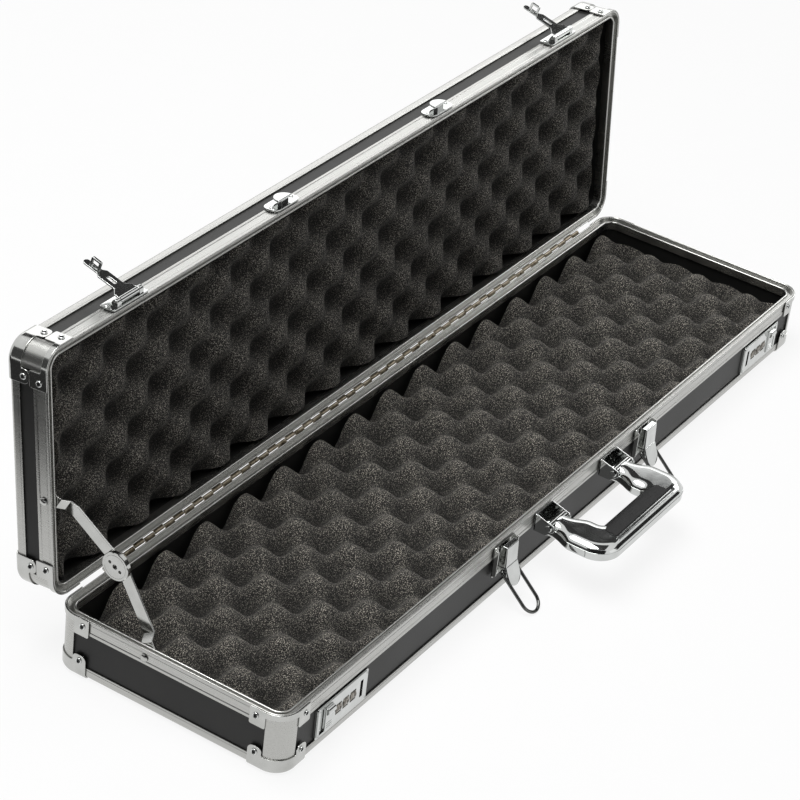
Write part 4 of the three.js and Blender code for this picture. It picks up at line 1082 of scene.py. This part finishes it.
def lock_hole(side, offset, width, tall, corner=0.5):
    x = side * offset
    low, high = LOCK_HEIGHT - tall / 2, LOCK_HEIGHT + tall / 2
    return rounded(x - width / 2, low, x + width / 2, high, corner, 4)


def lock_layer(half_length, half_height, low, high, holes, bevel):
    bottom, top = LOCK_HEIGHT - half_height, LOCK_HEIGHT + half_height
    outline = rounded(-half_length, bottom, half_length, top, 2)
    return front_plate(outline, high - low, low, bevel, holes)


def lock_body(side):
    slot = lock_hole(side, SLOT_AT, 3.5, 15)
    windows = [lock_hole(side, offset, 7.2, 9) for offset in DIALS_AT]
    pockets = [lock_hole(side, offset, 7.2, 12.6, 0.1) for offset in DIALS_AT]
    recess = lock_hole(side, RECESS_AT, 14.7, 22.2)
    middle = side * DIALS_AT[1]
    parts = [
        lock_layer(31.3, 12.8, 0.9, LOCK_FACE, [slot, *windows, recess], 0.22),
        lock_layer(32.25, 13.75, RECESS_FLOOR, 0.88, [slot, *pockets, recess], 0.25),
        lock_layer(32.25, 13.75, -1, RECESS_FLOOR - 0.02, [slot, *pockets], 0.1),
        lock_layer(29, 10.5, -9.8, -1.02, [slot, *pockets], 0.4),
        pin(DIAL_OUTSET, LOCK_HEIGHT, 1, middle - AXLE_HALF, middle + AXLE_HALF),
    ]
    for x in (-29.6, 29.6):
        for z in (-11.1, 11.1):
            parts.append(place(screw(1.6, 0.7), on_front(x, LOCK_HEIGHT + z, LOCK_FACE - 0.3)))
    return join(*parts)


print("lock body drawn")

# %% [markdown]
# The button is a thin slab with a swelling for the thumb above and three raised grip bars below.

# %% Push buttons
BUTTON_AT = 18.5
BUTTON_HALF = 4.7
BUTTON_TALL = 21.6
SWELL_FOOT = 2.4
SWELL_LEVEL = LOCK_HEIGHT + 7.6


def lock_button():
    low = LOCK_HEIGHT - BUTTON_TALL / 2
    slab = rounded(-BUTTON_HALF, low, BUTTON_HALF, low + BUTTON_TALL, 1)
    curve = [(2.9 + 2.5 * x, SWELL_LEVEL + 3 * z) for x, z in arc(0, 0, 1, -90, 90, 14)]
    swell = [(SWELL_FOOT, SWELL_LEVEL - 3), *curve, (SWELL_FOOT, SWELL_LEVEL + 3)]
    levels = [LOCK_HEIGHT + below for below in (-8, -6, -4)]
    return join(
        front_plate(slab, 2.4, outset=0.5, bevel=0.35, segments=3),
        bar(swell, -4.5, 4.5, 0.5, segments=3),
        *[bar(box(2.7, level, 3.15, level + 0.7), -3.4, 3.4, 0.15) for level in levels],
    )


for end, side in SIDES:
    make(f"lock_{end}", moved(lock_body(side), side * LOCK_AT), "base", plating,
         AS_DRAWN, [f"lock_body_{end}"])
    make(f"lock_slide_{end}", moved(lock_button(), side * (LOCK_AT + BUTTON_AT)), f"button_{end}",
         plating, AS_DRAWN, [f"lock_button_{end}"])

# %% [markdown]
# Each dial is a lathe shape with fine thumb ribs along one edge. The ten numbers are text, turned
# to mesh, stood round the rim one by one and kept as a thin dark layer that just clears the
# metal.

# %% Dials and their numbers
DIAL_RADIUS = 6
DIAL_HALF = 3.3
DIAL_RIBS = 30
DIGITS = 10
FIRST_SHOWN = 4
INK_RISE = 0.12


def number(count):
    curve = bpy.data.curves.new("number", "FONT")
    curve.body = str(count)
    curve.size = 3.6
    curve.align_x = "CENTER"
    curve.align_y = "CENTER"
    curve.resolution_u = 3
    writing = bpy.data.objects.new("number", curve)
    flat = bpy.data.meshes.new_from_object(writing)
    bm = bmesh.new()
    bm.from_mesh(flat)
    bpy.data.objects.remove(writing)
    bpy.data.meshes.remove(flat)
    thicken(bm, INK_RISE)
    bmesh.ops.remove_doubles(bm, verts=bm.verts, dist=0.001)
    return bm


def round_the_rim(part, turn, x):
    stand = Matrix.Translation((x, 0, 0)) @ Matrix.Rotation(turn, 4, "X")
    return place(part, stand @ Matrix.Translation((0, -DIAL_RADIUS, 0)) @ STOOD_UP)


def dial():
    w = DIAL_HALF
    profile = [(1.3, -w), (5.4, -w), (5.9, 0.35 - w), (5.9, 1.5 - w), (5.6, 1.7 - w),
               (5.6, 1.8 - w), (DIAL_RADIUS, 2 - w), (DIAL_RADIUS, w - 0.4), (5.6, w), (1.3, w)]
    parts = [place(turned(profile, 60), LAID_ALONG)]
    for count in range(DIAL_RIBS):
        rib = moved(plate(box(-0.5, -0.2, 0.5, 0.2), 0.4, 0), z=-0.4)
        parts.append(round_the_rim(rib, 2 * pi * count / DIAL_RIBS, 0.95 - w))
    return join(*parts)


def numbers():
    parts = []
    for count in range(DIGITS):
        turn = 2 * pi * (count - FIRST_SHOWN) / DIGITS
        parts.append(round_the_rim(moved(number(count), z=-0.08), turn, 0.75))
    return join(*parts)


for end, side in SIDES:
    for count, offset in enumerate(DIALS_AT, 1):
        axle = (side * (LOCK_AT + offset), -HALF_WIDTH - DIAL_OUTSET, LOCK_HEIGHT)
        make(f"dial_wheel_{end}_{count}", moved(dial(), *axle), f"dial_{end}_{count}", dial_metal,
             AS_DRAWN, [f"lock_dial_{end}_{count}"])
        make(f"dial_numbers_{end}_{count}", moved(numbers(), *axle), f"dial_{end}_{count}", ink_and_hole_shade,
             AS_DRAWN, sharp=60)

# %% [markdown]
# ## Hasps
# A hasp arm swings from a bracket on the lid and carries a staple that the lock holds. The arm is
# one outline with its slot as a hole, and the staple is a bent strip drawn from the side.

# %% Hasp brackets
HASP_AT = LOCK_AT + SLOT_AT
HASP_LOW = BASE_HEIGHT + GAP + 1.2
HASP_SHEET = 1.2
HASP_PIN_OUTSET = 4.5
HASP_PIN = BASE_HEIGHT + GAP + 4.7
LUG_ROUND = 2.6
LUG_WIDTH = 4.5


def hasp_bracket():
    back = rounded(-20, HASP_LOW, 20, HASP_LOW + 14, 2)
    lug = [(1, HASP_PIN - LUG_ROUND), *arc(HASP_PIN_OUTSET, HASP_PIN, LUG_ROUND, -90, 60, 12),
           (1, HASP_PIN + 2 * LUG_ROUND)]
    parts = [front_plate(back, HASP_SHEET, bevel=0.35)]
    for cheek in (-10.6 - LUG_WIDTH, 10.6):
        parts.append(bar(lug, cheek, cheek + LUG_WIDTH, 0.4, segments=3))
    parts.append(pin(HASP_PIN_OUTSET, HASP_PIN, 1.2, -15, 15))
    for x in (-17.6, 17.6):
        head = screw(1.8, 1.1)
        parts.append(place(head, on_front(x, HASP_LOW + 9.2, SEAT + HASP_SHEET)))
    return join(*parts)


print("hasp bracket drawn")

# %% Hasp arms
HASP_OPEN = radians(160)
HASP_BLADE = 1.4
BLADE_BACK = 2.3
BARREL_HALF = 10.3


def hasp_arm():
    side = [(BARREL_HALF, 0), (BARREL_HALF, -5), (5.5, -9), (5.5, -24.5), (3, -27.5), (3, -36.5),
            *arc(0, -39, 3, 0, -90, 10)]
    slot = rounded(-1.5, -20, 1.5, -12, 0.8, 4)
    blade = place(plate([*side, *mirrored(side)], HASP_BLADE, 0.35, [slot]), STOOD_UP)
    barrel = moved(spool([(1.5, 0), (2.3, 0), (2.6, 0.3)], 2 * BARREL_HALF), -BARREL_HALF)
    inside = rounded(2.6, -34.7, 8, -29.3, 0.5, 4)
    strip = plate(rounded(2.1, -36.5, 9.8, -27.5, 1.2, 5), 2, 0.25, [inside])
    arm = join(moved(blade, 0, BLADE_BACK), barrel, moved(place(strip, SECTION_TO_X), -1))
    swung = place(arm, Matrix.Rotation(-HASP_OPEN, 4, "X"))
    return moved(swung, 0, -HALF_WIDTH - HASP_PIN_OUTSET, HASP_PIN)


make_pairs(
    ("hasp_plate_{}", hasp_bracket, HASP_AT, "lid", plating, "bright_plating",
     OPENED, "hasp_bracket_{}"),
    ("hasp_swing_{}", hasp_arm, HASP_AT, "hasp_{}", plating, "bright_plating",
     OPENED, "hasp_arm_{}"),
)

# %% [markdown]
# ## Lid stay
# Two flat arms meet at a thick disc. Each arm is cut from strip and stepped, so that the arms
# pass each other. Here an arm is drawn flat, its step is bent in by moving the points beyond it,
# and the whole is turned to lie between its rivet and the disc. The second leg of a bowed arm is
# shaved a hair thinner, so that no two faces lie in one plane where the legs overlap.

# %% Stay arms
STAY_WALL = -392.6
BASE_PIVOT = Vector((22, 44.5))
LID_PIVOT = Vector((117.537, 134.492))
KNEE = Vector((57.551, 102.467))
ARM_LENGTH = 68
ARM_HALF = 5
ARM_SHEET = 1.4
STEP_FROM = 8
STEP_RUN = 5
SHAVE = 0.03


def in_end_plane(part, start, end):
    turn = Matrix.Rotation(atan2(end.y - start.y, end.x - start.x), 4, "X")
    return place(part, Matrix.Translation((STAY_WALL, *start)) @ turn @ SECTION_TO_X)


def stay_leg(start, end, shave):
    span = end - start
    outline = [*arc(0, 0, ARM_HALF, 90, 270, 14), *arc(span.length, 0, ARM_HALF, 270, 450, 14)]
    turn = Matrix.Rotation(atan2(span.y, span.x), 4, "Z")
    leg = plate(outline, ARM_SHEET - 2 * shave, 0.15)
    return place(leg, Matrix.Translation((*start, shave)) @ turn)


def stay_arm(layer, *spine):
    points = [Vector(point) for point in spine]
    spans = enumerate(zip(points, points[1:]))
    arm = join(*[stay_leg(start, end, SHAVE * count) for count, (start, end) in spans])
    cut_at(arm, 0, STEP_FROM)
    cut_at(arm, 0, STEP_FROM + STEP_RUN)
    for vert in arm.verts:
        vert.co.z += layer * min(max((vert.co.x - STEP_FROM) / STEP_RUN, 0), 1)
    return arm


lower = in_end_plane(stay_arm(6, (0, 0), (ARM_LENGTH, 0)), BASE_PIVOT, KNEE)
upper = in_end_plane(stay_arm(4.3, (0, 0), (19.7, -4.4), (ARM_LENGTH, 0)), LID_PIVOT, KNEE)
make("stay_low_arm", lower, "stay_lower", steel, AS_DRAWN, ["stay_arm_lower"])
make("stay_high_arm", upper, "stay_upper", steel, AS_DRAWN, ["stay_arm_upper"])

# %% Stay disc and rivets
DISC_RADIUS = 11.5
DISC_HEIGHT = 4
FACE_RADIUS = 9.4
RIVET_IN_LID = (19.5, 59.8)


def stay_disc():
    rim = turned([
        (FACE_RADIUS, 2), (FACE_RADIUS, 0.1), (FACE_RADIUS + 0.2, 0), (DISC_RADIUS - 0.4, 0),
        (DISC_RADIUS, 0.4), (DISC_RADIUS, DISC_HEIGHT - 0.4), (DISC_RADIUS - 0.4, DISC_HEIGHT),
        (0, DISC_HEIGHT), (0, 2),
    ], 64)
    holes = [circle(x, 0, radius, 20) for x, radius in ((0, 2), (-5.2, 1.3), (5.2, 1.3))]
    face = plate(circle(0, 0, FACE_RADIUS - 0.05, 64), 2, 0.12, holes)
    return join(rim, face)


def stay_rivet(y, z):
    profile = [(0, -1.5), (1.2, -1.45), (2.2, -1.2), (2.9, -0.8), (3.2, -0.35), (3.2, -0.3),
               (1.6, -0.3), (1.6, 9.1), (3.2, 9.1), (3.1, 9.6), (2.4, 10.1), (1.2, 10.3), (0, 10.3)]
    return moved(place(turned(profile), LAID_ALONG), -HALF_LENGTH, y, z)


make("stay_knee_disc", in_end_plane(stay_disc(), KNEE, LID_PIVOT), "stay_upper", steel,
     AS_DRAWN, ["stay_disc"])
make("stay_low_rivet", stay_rivet(*BASE_PIVOT), "base", steel,
     AS_DRAWN, ["stay_rivet_base"])
make("stay_high_rivet", stay_rivet(*RIVET_IN_LID), "lid", steel,
     OPENED, ["stay_rivet_lid"])

# %% [markdown]
# ## The pieces that stay as they are
# The boards and the hinge pin are plain shapes, and the CAD model already has them right. They
# only take a finish from here: every material slot of a piece whose name holds "board" or "pin"
# gets that finish.

# %% Finishes for the CAD pieces
FINISH_FOR = {"board": film, "pin": plating}
for name, node in nodes.items():
    for word, finish in FINISH_FOR.items():
        if word in name:
            for seat in node.material_slots:
                seat.material = finish.material
            print(name, "takes", finish.material.name)

# %% [markdown]
# ## Floor and background
# The case stands on a pale floor in front of a white background. The camera, mirrors and glass
# see the world as white, but the world lights the case only softly, so the shapes keep their
# shading. For the same rays the floor is mixed most of the way to white, and what is left of its
# own colour still shows the shadow.

# %% Floor
FLOOR_LEVEL = -0.0013
FLOOR_HALF = 6
WHITENED = 0.88

floor_finish = Finish("white_floor")
floor_finish.feed("Roughness", 0.9)
floor_finish.tint(floor_finish.noise(30), (0.78, 0.78, 0.78), (0.84, 0.84, 0.84))
lit_floor = Tone(floor_finish, floor_finish.shader.outputs[0])
paper = floor_finish.node("ShaderNodeEmission")
shares = {0: WHITENED * floor_finish.looked_at(), 1: lit_floor, 2: paper}
floor_finish.surface(floor_finish.node("ShaderNodeMixShader", values=shares))
floor_shape = bmesh.new()
bmesh.ops.create_grid(floor_shape, x_segments=1, y_segments=1, size=FLOOR_HALF)
floor = as_object("floor", moved(floor_shape, z=FLOOR_LEVEL), floor_finish)
print("floor at", FLOOR_LEVEL)

# %% World
AMBIENT = 0.05

world = bpy.data.worlds.new("white_room")
bpy.context.scene.world = world
world.use_nodes = True
sky = Wiring(world.node_tree)
background = world.node_tree.nodes["Background"]
sky.connect((1, 1, 1, 1), background.inputs["Color"])
sky.connect(AMBIENT + (1 - AMBIENT) * sky.looked_at(), background.inputs["Strength"])
print("ambient level", AMBIENT)

# %% [markdown]
# Plating in a white room looks like paper. A studio stands dark cards round the object, and one
# bright card, and it is their reflections that make plating look hard. These cards show in
# mirrors only: the camera and the soft light pass through them. Each glows at its own faintly
# streaked grey, so it needs no lamp, and it faces the case unless it is told otherwise.

# %% Cards that show in the metal
def card(name, center, wide, tall, grey, faces=None):
    finish = Finish(name)
    values = {"Color": (grey, grey, grey, 1), "Strength": 0.8 + 0.4 * finish.noise(2)}
    finish.surface(finish.node("ShaderNodeEmission", values=values))
    bm = bmesh.new()
    bmesh.ops.create_grid(bm, x_segments=1, y_segments=1, size=0.5)
    bmesh.ops.scale(bm, verts=bm.verts, vec=(wide, tall, 1))
    facing = Vector(faces or [-step for step in center]).to_track_quat("Z", "Y").to_matrix()
    sheet = as_object(name, place(bm, Matrix.Translation(center) @ facing.to_4x4()), finish)
    sheet.visible_camera = False
    sheet.visible_diffuse = False
    sheet.visible_shadow = False
    print(name, wide, "by", tall, "m, grey", grey)


card("card_behind_camera", (-3.4, -1.9, 2.3), 6.4, 4.4, 0.02)
card("card_overhead", (-0.3, -0.2, 3.4), 3.4, 3.4, 0.05)
card("card_left", (-3.4, 1.8, 1.2), 4.0, 2.6, 0.08)
card("card_right", (2.4, -2.6, 1.5), 2.2, 2.0, 0.03)
card("card_far", (2.6, 1.5, 2.86), 4.8, 1.5, 0.05)
card("card_bright", (2.94, 2.0, 1.8), 4.4, 1.0, 2.2)
card("card_low_left", (-1.08, 0.45, 0.003), 1.0, 2.2, 0.04, UP)

# %% [markdown]
# One large lamp overhead gives the soft light. A smaller one from the right draws the edges, and
# a faint one in front opens the shadows on the front wall.

# %% Lamps
def lamp(name, energy, size, spot, target):
    light = bpy.data.lights.new(name, "AREA")
    light.energy = energy
    light.shape = "RECTANGLE"
    light.size, light.size_y = size
    hung = bpy.data.objects.new(name, light)
    hung.location = spot
    hung.rotation_euler = (Vector(target) - Vector(spot)).to_track_quat("-Z", "Y").to_euler()
    bpy.context.scene.collection.objects.link(hung)
    print(name, energy, "W")


lamp("overhead", 66, (2.0, 1.2), (-0.4, 0.35, 2.3), (0, 0, 0.1))
lamp("right_side", 13, (1.2, 0.8), (2.8, -0.35, 1.7), (0, 0, 0.05))
lamp("front_fill", 1.5, (1.6, 1.2), (0.6, -2.4, 0.9), (0, 0, 0.1))

# %% [markdown]
# ## Camera
# The viewing angle was worked out from the corners of the case in the photograph. The three axes
# of the camera are written as columns, which is what a rotation matrix is.

# %% Camera
FOCAL_LENGTH = 126.87
CAMERA_SPOT = (-1.69526, -0.89264, 1.27881)

lens = bpy.data.cameras.new("photo_view")
lens.sensor_width = 36
lens.lens = FOCAL_LENGTH
camera = bpy.data.objects.new("photo_view", lens)
right = Vector((0.54620, -0.83118, 0.10395))
up = Vector((0.39978, 0.36772, 0.83962))
forward = Vector((0.73610, 0.41705, -0.53314))
turn = Matrix((right, up, -forward)).transposed()
camera.matrix_world = Matrix.Translation(CAMERA_SPOT) @ turn.to_4x4()
bpy.context.scene.collection.objects.link(camera)
bpy.context.scene.camera = camera
bpy.context.scene.view_settings.view_transform = "Standard"
print("camera at", CAMERA_SPOT)
